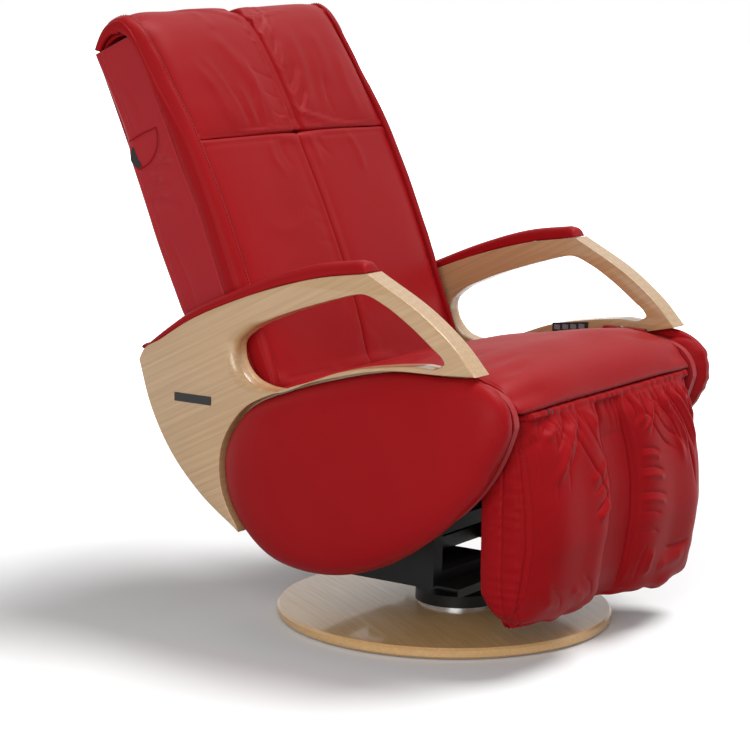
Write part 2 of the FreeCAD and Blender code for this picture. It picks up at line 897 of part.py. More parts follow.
# Outlines in side view, as shares of the arm's or the pod's length and height.
POD_SHARES = (
    (0.239, 1.000), Via((0.125, 1.000)), (0.058, 0.965), Via((0.015, 0.901)),
    (0.000, 0.813), Via((0.061, 0.584)), (0.227, 0.301), Via((0.427, 0.104)),
    (0.637, 0.008), Via((0.846, 0.064)),
    (0.988, 0.317), Via((0.997, 0.528)), (0.920, 0.725), Via((0.778, 0.837)),
    (0.609, 0.923), Via((0.428, 0.987)),
)
POD_MIDDLE_SHARE = (0.505, 0.539)
ARM_SHARES = (
    (0.000, 0.683), Via((0.140, 0.865)), (0.305, 0.996), Via((0.586, 0.908)),
    (0.845, 0.756), Via((0.931, 0.679)), (0.987, 0.629), (1.000, 0.594),
    Via((0.897, 0.267)),
)
OPENING_SHARES = (
    (0.319, 0.923), Via((0.198, 0.846)), (0.092, 0.733), Via((0.083, 0.717)),
    (0.095, 0.704), Via((0.262, 0.677)), (0.380, 0.642), Via((0.466, 0.596)),
    (0.574, 0.542), Via((0.660, 0.567)), (0.699, 0.644), Via((0.699, 0.692)),
    (0.668, 0.738), Via((0.491, 0.852)),
)
PAD_UNDER_SHARES = (
    (0.311, 0.996), Via((0.586, 0.909)), (0.845, 0.757), Via((0.931, 0.680)),
    (0.981, 0.634),
)
PAD_OVER_SHARES = (
    (0.979, 0.650), Via((0.928, 0.706)), (0.845, 0.785), Via((0.592, 0.946)),
    (0.341, 1.033), Via((0.317, 1.025)),
)
# The wing's tip, and where the arm's lower edge joins the pod's rear outline.
WING_TIP_SHARE = (0.681, 0.008)
WING_JOIN_SHARE = (0.942, 0.192)
WING_CURVE_SHARE = (0.968, 0.252)


def arm_point(share):
    return (s.arm_length * share[0] - s.arm_front, s.arm_height * share[1] + s.arm_foot)


def pod_point(share, grow=1.0):
    """A point of the pod's outline, drawn in or out about the pod's middle."""
    along = POD_MIDDLE_SHARE[0] + (share[0] - POD_MIDDLE_SHARE[0]) * grow
    up = POD_MIDDLE_SHARE[1] + (share[1] - POD_MIDDLE_SHARE[1]) * grow
    return (s.pod_length * along - s.pod_front, POD_TALL * up + POD_FOOT)


def placed(shares, point, *extra):
    """An outline's shares as points, arcs kept."""
    path = []
    for share in shares:
        if isinstance(share, Via):
            path.append(Via(point(share.point, *extra)))
        else:
            path.append(point(share, *extra))
    return path


def arm_outline(grow):
    """The arm's outline, whose lower edge follows the pod's outline grown by this much."""
    path = placed(ARM_SHARES, arm_point)
    path.append(arm_point(WING_TIP_SHARE))
    path.append(pod_point(WING_JOIN_SHARE, grow))
    path.append(Via(pod_point(WING_CURVE_SHARE, grow)))
    path.extend(placed(POD_SHARES[10:], pod_point, grow))
    path.append(pod_point(POD_SHARES[0], grow))
    return path


ARM_BOLT_SHARES = ((0.755, 0.440), (0.835, 0.385), (0.750, 0.290), (0.148, 0.661))
BOARD_GROW = 0.92
BOARD_WING_SHARES = ((0.600, 0.120), (0.800, 0.230), (0.890, 0.400), (0.860, 0.500),
                     (0.700, 0.510), (0.560, 0.440))
BOARD_TOE_SHARES = ((0.080, 0.500), (0.080, 0.668), (0.200, 0.668), (0.280, 0.500))


def make_boards():
    """The plywood side boards, bolted to the cross tubes, that the arms and pods hang on."""
    made = []
    for side, word in SIDES:
        low, high = span(side, s.board_inner, ARM_INNER)
        board = new_body("side_board_" + word)
        add_pad(board, "YZ_Plane", low, s.board_thick, placed(POD_SHARES, pod_point, BOARD_GROW))
        add_pad(board, "YZ_Plane", low, s.board_thick, [arm_point(p) for p in BOARD_WING_SHARES])
        add_pad(board, "YZ_Plane", low, s.board_thick, [arm_point(p) for p in BOARD_TOE_SHARES])
        holes = [(arm_point(spot), s.arm_bolt_radius + s.hole_gap) for spot in ARM_BOLT_SHARES]
        add_pocket(board, "YZ_Plane", low - s.overrun, s.board_thick + s.overrun * 2,
                   rings=holes)
        made.append(board)
    return made


ARM_GROW = 1.012
RABBET_GROW = 0.935


def make_arms():
    """The bentwood arms: an inner layer that reaches in behind the pod, and an outer one."""
    made = []
    for side, word in SIDES:
        inner_low, inner_high = span(side, ARM_INNER, ARM_INNER + s.arm_rabbet)
        outer_low, outer_high = span(side, ARM_INNER + s.arm_rabbet, ARM_OUTER)
        arm = new_body("arm_" + word)
        add_pad(arm, "YZ_Plane", inner_low, s.arm_rabbet, arm_outline(RABBET_GROW))
        add_pad(arm, "YZ_Plane", outer_low, s.arm_thick - s.arm_rabbet, arm_outline(ARM_GROW))
        low, high = span(side, ARM_INNER, ARM_OUTER)
        add_pocket(arm, "YZ_Plane", low - s.overrun, s.arm_thick + s.overrun * 2,
                   placed(OPENING_SHARES, arm_point))
        depth = s.arm_bolt_depth + s.overrun
        hole_low, hole_high = span(side, ARM_INNER - s.overrun, ARM_INNER + depth)
        holes = [(arm_point(spot), s.arm_bolt_radius + s.hole_gap) for spot in ARM_BOLT_SHARES]
        add_pocket(arm, "YZ_Plane", hole_low, depth + s.overrun, rings=holes)
        made.append(arm)
    bolts = []
    for side, word in SIDES:
        for number, spot in enumerate(ARM_BOLT_SHARES):
            y, z = arm_point(spot)
            low, high = span(side, s.board_inner, ARM_INNER + s.arm_bolt_depth)
            shank = rod("arm_shank_%s_%d" % (word, number), "x", (low, y, z),
                        s.arm_bolt_radius, s.board_thick + s.arm_bolt_depth)
            low, high = span(side, s.board_inner - s.arm_bolt_head_height, s.board_inner)
            head = rod("arm_head_%s_%d" % (word, number), "x", (low, y, z),
                       s.arm_bolt_head_radius, s.arm_bolt_head_height)
            bolts.append(fused("arm_bolt_%s_%d" % (word, number), [shank, head]))
    made.append(group("arm_bolts", bolts))
    return made


# Stations across an arm pad: place as a share of its width, and how full it is there.
PAD_STATION_SHARES = ((0.00, 0.35), (0.06, 0.70), (0.20, 0.94), (0.50, 1.00), (0.80, 0.94),
                      (0.94, 0.70), (1.00, 0.35))


def make_arm_pads():
    """The long padded rests on the arms' top edges, crowned across."""
    made = []
    for side, word in SIDES:
        low, high = span(side, ARM_INNER + s.arm_pad_inset, ARM_OUTER - s.arm_pad_inset)
        wires = []
        for share, full in PAD_STATION_SHARES:
            under = placed(PAD_UNDER_SHARES, arm_point)
            over = placed(PAD_OVER_SHARES, arm_point)
            drop = float(s.arm_pad_round) * (1 - full)
            path = [lowered(step, -float(s.arm_pad_gap)) for step in under]
            path += [lowered(step, drop) for step in over]
            x = float(low) + (float(high) - float(low)) * share
            wires.append(wire(path, across(x)))
        made.append(solid("arm_pad_" + word, Part.makeLoft(wires, True, False)))
    return made


def lowered(step, drop):
    """A step of a path, let down by this much."""
    if isinstance(step, Via):
        return Via((step.point[0], float(step.point[1]) - drop))
    return (step[0], float(step[1]) - drop)


# Stations outward through a pod: place as a share of its depth, and the outline's growth.
POD_STATION_SHARES = ((0.00, 0.970), (0.25, 0.992), (0.48, 0.998), (0.66, 0.975),
                      (0.79, 0.930), (0.875, 0.865), (0.93, 0.780), (0.965, 0.680),
                      (0.985, 0.570), (1.00, 0.450))


def make_pods():
    """The padded side pods: a core against the board and a crowned cushion outside it."""
    made = []
    for side, word in SIDES:
        seat_face = ARM_INNER + s.arm_rabbet + s.soft_gap
        core_low, core_high = span(side, ARM_INNER + s.soft_gap, seat_face)
        core_path = placed(POD_SHARES, pod_point, BOARD_GROW)
        core_wire = wire(core_path, across(float(core_low)))
        core = Part.Face(core_wire).extrude(Vector(float(core_high) - float(core_low), 0, 0))
        inner = float(seat_face)
        depth = float(ARM_OUTER + s.pod_bulge) - inner
        wires = []
        for share, grow in POD_STATION_SHARES:
            path = placed(POD_SHARES, pod_point, grow)
            wires.append(wire(path, across(side * (inner + depth * share))))
        cushion = Part.makeLoft(wires, True, False)
        made.append(solid("pod_" + word, core.fuse(cushion).removeSplitter()))
    return made


def make_arm_trim():
    """The bare name plate on the right arm, and the keypad with its wells on the left arm."""
    y = s.name_plate_middle
    z = s.arm_foot + s.arm_height * NAME_PLATE_SHARE
    half = s.name_plate_long / 2
    tall = s.name_plate_tall / 2
    name_plate = block("name_plate", (-ARM_OUTER - s.name_plate_thick, y - half, z - tall),
                       (-ARM_OUTER, y + half, z + tall))
    front = -s.keypad_front
    rear = front + s.keypad_long
    top = KEYPAD_TOP
    face = ARM_INNER - s.keypad_thick
    path = [
        (front, top - s.keypad_tall),
        (rear, top - s.keypad_fall - s.keypad_tall),
        (rear, top - s.keypad_fall),
        (front, top),
    ]
    keypad = plate("keypad_body", face, s.keypad_thick, path)
    made = [name_plate, keypad]
    for number in range(BUTTONS):
        middle_y, middle_z = button_middle(number)
        half = s.button_long / 2 + s.button_gap
        tall = s.button_tall / 2 + s.button_gap
        well = [(middle_y - half, middle_z - tall), (middle_y + half, middle_z - tall),
                (middle_y + half, middle_z + tall), (middle_y - half, middle_z + tall)]
        add_pocket(keypad, "YZ_Plane", face - s.overrun, s.button_well + s.overrun, well)
        half = s.button_long / 2
        tall = s.button_tall / 2
        made.append(block("button_%d" % (number + 1),
                          (face - s.button_proud, middle_y - half, middle_z - tall),
                          (face + s.button_deep, middle_y + half, middle_z + tall)))
    return made


def button_middle(number):
    """The middle of a button, counted from the front, on the keypad's sloping line."""
    along = s.keypad_long / 2 + s.button_pitch * (number - (BUTTONS - 1) / 2)
    fall = s.keypad_fall * (float(along) / float(s.keypad_long))
    return (along - s.keypad_front, KEYPAD_TOP - fall - s.keypad_tall / 2)


# Backrest, drawn upright in its own frame: y is backward, z is up the back

def make_back_frame():
    tube = s.tube_side
    front = FRAME_FRONT
    rear = s.frame_rear
    parts = []
    for number, low in enumerate((s.frame_low, s.frame_top - tube)):
        parts.append(block("back_member_%d" % number, (-s.frame_reach, front, low),
                           (s.frame_reach, rear, low + tube)))
    for side, word in SIDES:
        low, high = span(side, s.upright_outer - tube, s.upright_outer)
        parts.append(block("back_upright_" + word, (low, front, s.frame_low),
                           (high, rear, s.frame_top)))
        low, high = span(side, s.upright_outer, s.upright_outer + s.hinge_arm_thick)
        path = [
            (-s.ear_radius, 0),
            Via((0, -s.ear_radius)),
            (s.ear_radius, 0),
            (rear, s.frame_low),
            (rear, s.hinge_arm_top),
            (front, s.hinge_arm_top),
            (front, s.frame_low),
        ]
        parts.append(plate("hinge_arm_" + word, low, s.hinge_arm_thick, path,
                           holes=[((0, 0), s.hinge_pin_radius + s.running_gap)]))
    for number, x in enumerate(lug_places(s.actuator_middle)):
        lug_y = s.back_lug_rear
        lug_z = -s.back_lug_drop
        path = [
            (lug_y - s.back_lug_radius, lug_z),
            Via((lug_y, lug_z - s.back_lug_radius)),
            (lug_y + s.back_lug_radius, lug_z),
            (rear, s.frame_low + s.overrun),
            (front, s.frame_low + s.overrun),
        ]
        parts.append(plate("back_lug_%d" % number, x, s.lug_thick, path,
                           holes=[((lug_y, lug_z), s.back_lug_bore)]))
    return [lean(fused("back_frame", parts))]


def make_back_shell():
    made = []
    for side, word in SIDES:
        low, high = span(side, s.back_half - s.panel_thick, s.back_half)
        front = s.soft_gap - s.pad_rear
        rear = s.cover_front - s.soft_gap
        path = [
            (front, s.back_low),
            (rear, s.back_low),
            (rear, s.back_shoulder - s.panel_thick),
            (rear - s.panel_thick, s.back_shoulder),
            (front, s.back_shoulder),
        ]
        panel = plate("back_side_" + word, low, s.panel_thick, path)
        if side < 0:
            mouth_rear = s.pocket_front + s.pocket_deep
            mouth = [
                (s.pocket_front, s.pocket_low),
                (mouth_rear, s.pocket_low),
                (mouth_rear, s.pocket_low + s.pocket_tall),
                (s.pocket_front, s.pocket_low + s.pocket_tall),
            ]
            add_pocket(panel, "YZ_Plane", low - s.overrun, s.panel_thick + s.overrun * 2, mouth)
        made.append(lean(panel))
    rear = s.cover_front + s.cover_thick
    top = s.back_shoulder - s.cover_thick
    path = [
        (s.cover_front, s.back_low),
        (rear, s.back_low),
        (rear, top),
        (s.cover_front, top),
    ]
    made.append(lean(plate("back_cover", -s.back_half, s.back_half * 2, path)))
    return made


# Stations across the back: place as a share of the half width, and how full it is.
BACK_STATION_SHARES = ((1.000, 0.34), (0.965, 0.66), (0.860, 0.88), (0.500, 1.00),
                       (0.140, 0.93), (0.000, 0.78))


def back_stations():
    left = [(-share, full) for share, full in BACK_STATION_SHARES]
    right = [(share, full) for share, full in reversed(BACK_STATION_SHARES[:-1])]
    return left + right


def make_back_pad():
    """The lower back cushion: two long rolls between the side seams and the middle seam."""
    low = float(s.back_low)
    top = float(s.back_seam) - float(s.soft_gap) * 2
    tall = top - low
    rear = -float(s.pad_rear)
    deep = float(s.pad_front) - float(s.pad_rear)
    wires = []
    for share, full in back_stations():
        path = [
            (rear, low),
            (rear - deep * 0.50 * full, low),
            Via((rear - deep * 0.93 * full, low + tall * 0.32)),
            (rear - deep * full, low + tall * 0.62),
            Via((rear - deep * 0.985 * full, low + tall * 0.84)),
            (rear - deep * 0.78 * full, top),
            (rear, top),
        ]
        wires.append(wire(path, across(float(s.back_half) * share)))
    return [solid("back_pad", Part.makeLoft(wires, True, False), back_placement())]


def make_head_pad():
    """The head cushion, which folds over the top of the back and ends behind it."""
    seam = float(s.back_seam)
    shoulder = float(s.back_shoulder)
    inner_top = shoulder + float(s.soft_gap) * 10
    top = float(s.back_top)
    rise = top - inner_top
    tall = shoulder - seam
    rear = -float(s.pad_rear)
    deep = float(s.pad_front) - float(s.pad_rear)
    cover_back = float(s.cover_front + s.cover_thick)
    gap = float(s.soft_gap)
    wires = []
    for share, full in back_stations():
        lift = 0.45 + 0.55 * min(1.0, full + 0.10)
        path = [
            (rear, seam),
            (rear - deep * 0.78 * full, seam),
            Via((rear - deep * 0.88 * full, seam + tall * 0.35)),
            (rear - deep * 0.70 * full, seam + tall * 0.78),
            Via((rear - deep * 0.35 * full, inner_top + rise * 0.25 * lift)),
            (rear * 0.10, inner_top + rise * 0.90 * lift),
            Via((cover_back * 0.35, inner_top + rise * lift)),
            (cover_back * 0.72, inner_top + rise * 0.62 * lift),
            Via((cover_back * 0.98, inner_top + rise * 0.10)),
            (cover_back * 1.02, shoulder - float(s.cover_thick)),
            (cover_back * 0.84, shoulder - float(s.cover_thick) + gap),
            Via((cover_back * 0.80, shoulder)),
            (cover_back * 0.70, inner_top),
            (rear, inner_top),
        ]
        wires.append(wire(path, across(float(s.back_half) * share)))
    return [solid("head_pad", Part.makeLoft(wires, True, False), back_placement())]


# Massage drive

def make_rails():
    made = []
    rails = []
    rear = FRAME_FRONT
    front = rear - s.rail_depth
    for side, word in SIDES:
        low, high = span(side, s.rail_inner, s.rail_inner + s.rail_width)
        outer = block("rail_outer_" + word, (low, front, s.rail_low),
                      (high, rear, s.rail_top))
        low, high = span(side, s.rail_inner - s.overrun,
                         s.rail_inner + s.rail_width - s.rail_wall)
        hollow = block("rail_hollow_" + word,
                       (low, front + s.rail_wall, s.rail_low - s.overrun),
                       (high, rear - s.rail_wall, s.rail_top + s.overrun))
        rails.append(cut("massage_rail_" + word, outer, [hollow]))
    made.append(lean(group("massage_rails", rails)))
    half = s.screw_block_half
    tall = s.screw_block_tall
    blocks = []
    for number, low in enumerate((s.rail_low, s.rail_top - tall)):
        body = block("screw_block_body_%d" % number,
                     (-half, s.screw_middle - half * 0.6, low), (half, rear, low + tall))
        bore = rod("screw_block_bore_%d" % number, "z", (0, s.screw_middle, low - s.overrun),
                   s.journal_radius + s.running_gap, tall + s.overrun * 2)
        blocks.append(cut("screw_block_%d" % number, body, [bore]))
    made.append(lean(group("screw_blocks", blocks)))
    motor_top = s.rail_low - s.soft_gap
    motor = rod("screw_motor_can", "z",
                (0, s.screw_middle, motor_top - s.screw_motor_length),
                s.screw_motor_radius, s.screw_motor_length - s.journal_radius)
    flange = rod("screw_motor_flange", "z", (0, s.screw_middle, motor_top - s.journal_radius),
                 s.screw_block_half * 0.7, s.journal_radius)
    socket = rod("screw_motor_socket", "z", (0, s.screw_middle, motor_top - s.journal_radius * 2),
                 s.journal_radius + s.running_gap, s.journal_radius * 3)
    made.append(lean(cut("screw_motor", fused("screw_motor_blank", [motor, flange]), [socket])))
    low = s.rail_low + tall + s.soft_gap
    top = s.rail_top - tall - s.soft_gap
    thread = rod("screw_thread", "z", (0, s.screw_middle, low), s.lead_screw_radius, top - low)
    journal_low = s.rail_low - s.journal_radius
    journal = rod("screw_journal", "z", (0, s.screw_middle, journal_low), s.journal_radius,
                  s.rail_top - journal_low)
    made.append(lean(fused("lead_screw", [thread, journal])))
    return made


def make_carriage():
    rear = FRAME_FRONT
    rail_front = rear - s.rail_depth
    middle = s.carriage_middle
    bar_front = s.screw_middle - s.carriage_bar_thick / 2
    bar_rear = s.screw_middle + s.carriage_bar_thick / 2
    half = s.carriage_bar_half
    parts = [block("carriage_bar", (-s.rail_inner, bar_front, middle - half),
                   (s.rail_inner, bar_rear, middle + half))]
    for side, word in SIDES:
        low, high = span(side, s.rail_inner,
                         s.rail_inner + s.rail_width - s.rail_wall - s.slide_gap)
        parts.append(block("shoe_" + word,
                           (low, rail_front + s.rail_wall + s.slide_gap,
                            middle - s.carriage_shoe_half),
                           (high, rear - s.rail_wall - s.slide_gap,
                            middle + s.carriage_shoe_half)))
    nut = s.carriage_nut_half
    parts.append(block("carriage_nut", (-nut, s.screw_middle - nut * 0.8, middle - half),
                       (nut, s.screw_middle + nut * 0.8, middle + half)))
    axle_y = -s.roller_forward
    reach = s.roller_offset + s.axle_radius * 2
    for side, word in SIDES:
        low, high = span(side, s.roller_arm_middle - s.roller_arm_thick / 2,
                         s.roller_arm_middle + s.roller_arm_thick / 2)
        path = [
            (axle_y - s.axle_radius * 2, middle - reach),
            (axle_y + s.axle_radius * 2, middle - reach),
            (bar_front, middle - half),
            (bar_front, middle + half),
            (axle_y + s.axle_radius * 2, middle + reach),
            (axle_y - s.axle_radius * 2, middle + reach),
        ]
        holes = [((axle_y, middle + s.roller_offset), s.axle_radius + s.running_gap),
                 ((axle_y, middle - s.roller_offset), s.axle_radius + s.running_gap)]
        parts.append(plate("roller_arm_" + word, low, s.roller_arm_thick, path, holes=holes))
    bore = rod("carriage_bore", "z", (0, s.screw_middle, middle - s.carriage_shoe_half),
               s.lead_screw_radius + s.running_gap, s.carriage_shoe_half * 2)
    made = [lean(cut("massage_carriage", fused("carriage_blank", parts), [bore]))]
    motor_y = bar_rear + s.knead_motor_radius
    start = -s.knead_motor_length - s.carriage_nut_half * 1.5
    can = rod("knead_can", "x", (start, motor_y, middle), s.knead_motor_radius,
              s.knead_motor_length)
    foot = block("knead_foot", (start, bar_rear, middle - s.knead_motor_radius * 0.7),
                 (start + s.knead_motor_length, motor_y, middle + s.knead_motor_radius * 0.7))
    made.append(lean(fused("knead_motor", [can, foot])))
    for word, up in (("upper", 1), ("lower", -1)):
        z = middle + s.roller_offset * up
        wheel_start = s.roller_arm_middle + s.roller_arm_thick / 2 + s.soft_gap * 4
        reach = wheel_start + s.roller_width
        parts = [rod("axle_" + word, "x", (-reach, axle_y, z), s.axle_radius, reach * 2)]
        for side, hand in SIDES:
            low, high = span(side, wheel_start, reach)
            parts.append(rod("wheel_%s_%s" % (word, hand), "x", (low, axle_y, z),
                             s.roller_radius, s.roller_width))
        made.append(lean(fused("roller_pair_" + word, parts)))
    return made


# Leg rest

# Heights on the leg rest as shares from foot to top; then the half width, how far the
# corner seams and the two rolls have come forward, and how far the rear edge stays back.
LEG_STATION_SHARES = (
    (0.000, 0.740, 0.25, 0.10, 0.55),
    (0.040, 0.860, 0.55, 0.42, 0.80),
    (0.100, 0.935, 0.80, 0.70, 0.93),
    (0.200, 0.985, 0.95, 0.90, 1.00),
    (0.390, 1.000, 1.00, 1.00, 1.00),
    (0.660, 1.000, 1.00, 0.80, 1.00),
    (0.860, 0.985, 0.70, 0.55, 1.00),
    (1.000, 0.970, 0.20, 0.12, 1.00),
)


def make_leg_pad():
    """The calf cushion: two upright rolls with a sunk band between them, round at the foot."""
    rear = -float(s.leg_rear)
    corner = -float(s.leg_corner)
    bulge = float(s.leg_bulge)
    shelf = float(s.leg_pivot_front) + float(s.leg_eye_radius)
    tall = float(LEG_TOP) - float(s.leg_foot)
    wires = []
    for up, wide, seam, roll, keep in LEG_STATION_SHARES:
        half = float(s.leg_half) * wide
        front = -shelf + (corner + shelf) * seam
        heel = front + (rear - front) * keep
        crest = front - bulge * roll
        band = front - bulge * 0.25 * roll
        path = [
            (-half, heel),
            (-half, front * 0.45 + heel * 0.55),
            Via((-half * 0.99, front * 0.80 + heel * 0.20)),
            (-half * 0.965, front),
            Via((-half * 0.56, crest)),
            (-half * 0.15, band),
            (half * 0.15, band),
            Via((half * 0.56, crest)),
            (half * 0.965, front),
            Via((half * 0.99, front * 0.80 + heel * 0.20)),
            (half, front * 0.45 + heel * 0.55),
            (half, heel),
        ]
        wires.append(wire(path, level(float(s.leg_foot) + tall * up)))
    loft = solid("leg_pad_loft", Part.makeLoft(wires, True, False))
    hollow = block("leg_pad_hollow",
                   (-s.leg_cavity_half, -s.leg_slab_back, s.leg_cavity_foot),
                   (s.leg_cavity_half, s.overrun - s.leg_rear, LEG_TOP + s.overrun))
    shell = cut("leg_pad_shell", loft, [hollow])
    roll = rod("leg_pad_roll", "x",
               (-s.leg_roll_half, -s.leg_pivot_front, LEG_PIVOT),
               s.leg_roll_radius, s.leg_roll_half * 2)
    reach = s.leg_roll_radius + s.leg_notch_gap
    eyes = s.leg_eye_thick * 2 + s.leg_eye_gap + s.hinge_pin_overhang
    notches = []
    for side, word in SIDES:
        low, high = span(side, PLATE_OUTER - s.leg_notch_gap,
                         PLATE_OUTER + eyes + s.leg_notch_gap)
        notches.append(block("leg_pad_notch_" + word,
                             (low, -s.leg_corner - s.leg_bulge,
                              LEG_PIVOT - reach),
                             (high, reach - s.leg_pivot_front,
                              LEG_PIVOT + reach)))
    return [cut("leg_pad", fused("leg_pad_blank", [shell, roll]), notches)]


def leg_lug():
    """The middle of the leg rest's drive lug, behind and below its hinge."""
    turn = math.radians(float(s.leg_lug_angle))
    return (s.leg_lug_reach * math.cos(turn) - s.leg_pivot_front,
            LEG_PIVOT - s.leg_lug_reach * math.sin(turn))


def make_leg_frame():
    pivot = (-s.leg_pivot_front, LEG_PIVOT)
    back = -s.leg_plate_back
    front = back - s.leg_plate_thick
    half = s.leg_cavity_half - s.soft_gap
    foot = s.leg_cavity_foot + s.soft_gap
    board_front = -s.leg_board_back - s.leg_board_thick
    parts = [block("leg_plate", (-half, front, foot), (half, back, (LEG_PIVOT - s.leg_plate_drop)))]
    for side, word in SIDES:
        low, high = span(side, s.leg_rib_middle - s.leg_rib_thick / 2,
                         s.leg_rib_middle + s.leg_rib_thick / 2)
        parts.append(block("leg_rib_" + word, (low, back, foot),
                           (high, board_front, (LEG_PIVOT - s.leg_board_drop) - s.leg_board_thick)))
        inner = PLATE_OUTER + s.leg_eye_thick + s.leg_eye_gap
        low, high = span(side, inner, inner + s.leg_eye_thick)
        toe = pivot[0] - s.leg_eye_radius * 0.5
        path = [
            (toe, pivot[1] - s.leg_eye_radius * 0.85),
            (toe, (LEG_PIVOT - s.leg_plate_drop) - s.leg_eye_radius * 2),
            (back, (LEG_PIVOT - s.leg_plate_drop) - s.leg_eye_radius * 2),
            (back, (LEG_PIVOT - s.leg_plate_drop)),
            (pivot[0] + s.leg_eye_radius, pivot[1]),
            Via((pivot[0], pivot[1] + s.leg_eye_radius)),
            (pivot[0] - s.leg_eye_radius, pivot[1]),
        ]
        parts.append(plate("leg_eye_" + word, low, s.leg_eye_thick, path,
                           holes=[(pivot, s.leg_pin_radius + s.running_gap)]))
    lug_y, lug_z = leg_lug()
    for number, x in enumerate(lug_places(-s.actuator_middle)):
        path = [
            (lug_y + s.leg_lug_radius, lug_z),
            Via((lug_y, lug_z + s.leg_lug_radius)),
            (back, lug_z + s.leg_lug_radius * 0.6),
            (back, lug_z - s.leg_lug_radius * 3),
            (back + s.leg_lug_radius * 0.4, lug_z - s.leg_lug_radius * 3),
        ]
        parts.append(plate("leg_lug_%d" % number, x, s.lug_thick, path,
                           holes=[((lug_y, lug_z), s.leg_lug_bore)]))
    frame = fused("leg_frame", parts)
    board = block("leg_back_board", (-half, board_front, foot),
                  (half, -s.leg_board_back, (LEG_PIVOT - s.leg_board_drop)))
    bags = []
    for side, word in SIDES:
        low, high = span(side, s.airbag_inner, s.airbag_outer)
        bags.append(block("airbag_" + word,
                          (low, s.soft_gap - s.leg_slab_back, s.airbag_low),
                          (high, front - s.soft_gap, LEG_PIVOT - s.airbag_drop)))
    return [frame, board, group("calf_airbags", bags)]


def make_hinges():
    """The arms that reach forward to the leg rest's hinge, and all the hinge pins."""
    pivot = (-s.leg_pivot_front, LEG_PIVOT)
    radius = s.leg_eye_radius
    lip = -s.leg_board_back
    under = pan_under(-s.pan_front) - s.hole_gap * 2
    rear = -s.carry_front
    depth = s.tube_side
    arms = []
    for side, word in SIDES:
        low, high = span(side, PLATE_OUTER, PLATE_OUTER + s.leg_eye_thick)
        path = [
            (pivot[0], pivot[1] - radius),
            Via((pivot[0] - radius, pivot[1])),
            (pivot[0], pivot[1] + radius),
            (lip - depth * 1.2, pivot[1] + radius * 0.6),
            (lip + radius * 0.5, under - radius * 0.2),
            (-s.pan_front, under),
            (rear, pan_under(rear) - s.hole_gap * 2),
            (rear, pan_under(rear) - depth * 1.4),
            (-s.chassis_front, pan_under(-s.chassis_front) - depth * 1.2),
            (lip, under - depth),
            (lip - depth * 1.4, pivot[1] - radius * 1.9),
        ]
        arms.append(plate("leg_hinge_arm_" + word, low, s.leg_eye_thick, path,
                          holes=[(pivot, s.leg_pin_radius + s.running_gap)]))
    pins = []
    for side, word in SIDES:
        low, high = span(side, s.chassis_half - s.hinge_pin_overhang,
                         s.upright_outer + s.hinge_arm_thick + s.hinge_pin_overhang)
        pins.append(rod("back_pin_" + word, "x",
                             (low, s.back_pivot_y, s.back_pivot_height),
                             s.hinge_pin_radius, high - low))
        low, high = span(side, PLATE_OUTER + s.overrun / 2,
                         PLATE_OUTER + s.leg_eye_thick * 2 + s.leg_eye_gap
                         + s.hinge_pin_overhang)
        pins.append(rod("leg_pin_" + word, "x", (low, pivot[0], pivot[1]),
                        s.leg_pin_radius, high - low))
    reach = s.lug_gap_half + s.lug_thick + s.hinge_pin_overhang
    for word, x, (y, z) in (("back", s.actuator_middle, back_actuator_pivot()),
                            ("leg", -s.actuator_middle, leg_actuator_pivot())):
        pins.append(rod("actuator_pin_" + word, "x", (x - reach, y, z),
                        s.actuator_pin_radius, reach * 2))
    return [group("leg_hinge_arms", arms), group("hinge_pins", pins)]


# Actuators: each drawn along y from its rear eye, then turned to point at its lug

def back_actuator_pivot():
    return (s.tube_side / 2 - s.chassis_front, s.back_actuator_pivot_height)


def leg_actuator_pivot():
    return (s.carry_rear - s.leg_actuator_forward, s.carry_rear_height)


def back_lug():
    """The middle of the backrest's drive lug, in the chair's frame."""
    point = Vector(0, float(s.back_lug_rear), -float(s.back_lug_drop))
    at = back_placement().multVec(point)
    return (at.y, at.z)


def make_actuators():
    back = make_actuator("back_actuator", s.actuator_middle, back_actuator_pivot(),
                         back_lug(), 1, s.back_tube_end, s.back_rod_start)
    leg = make_actuator("leg_actuator", -s.actuator_middle, leg_actuator_pivot(),
                        leg_lug(), -1, s.leg_tube_end, s.leg_rod_start)
    return back + leg


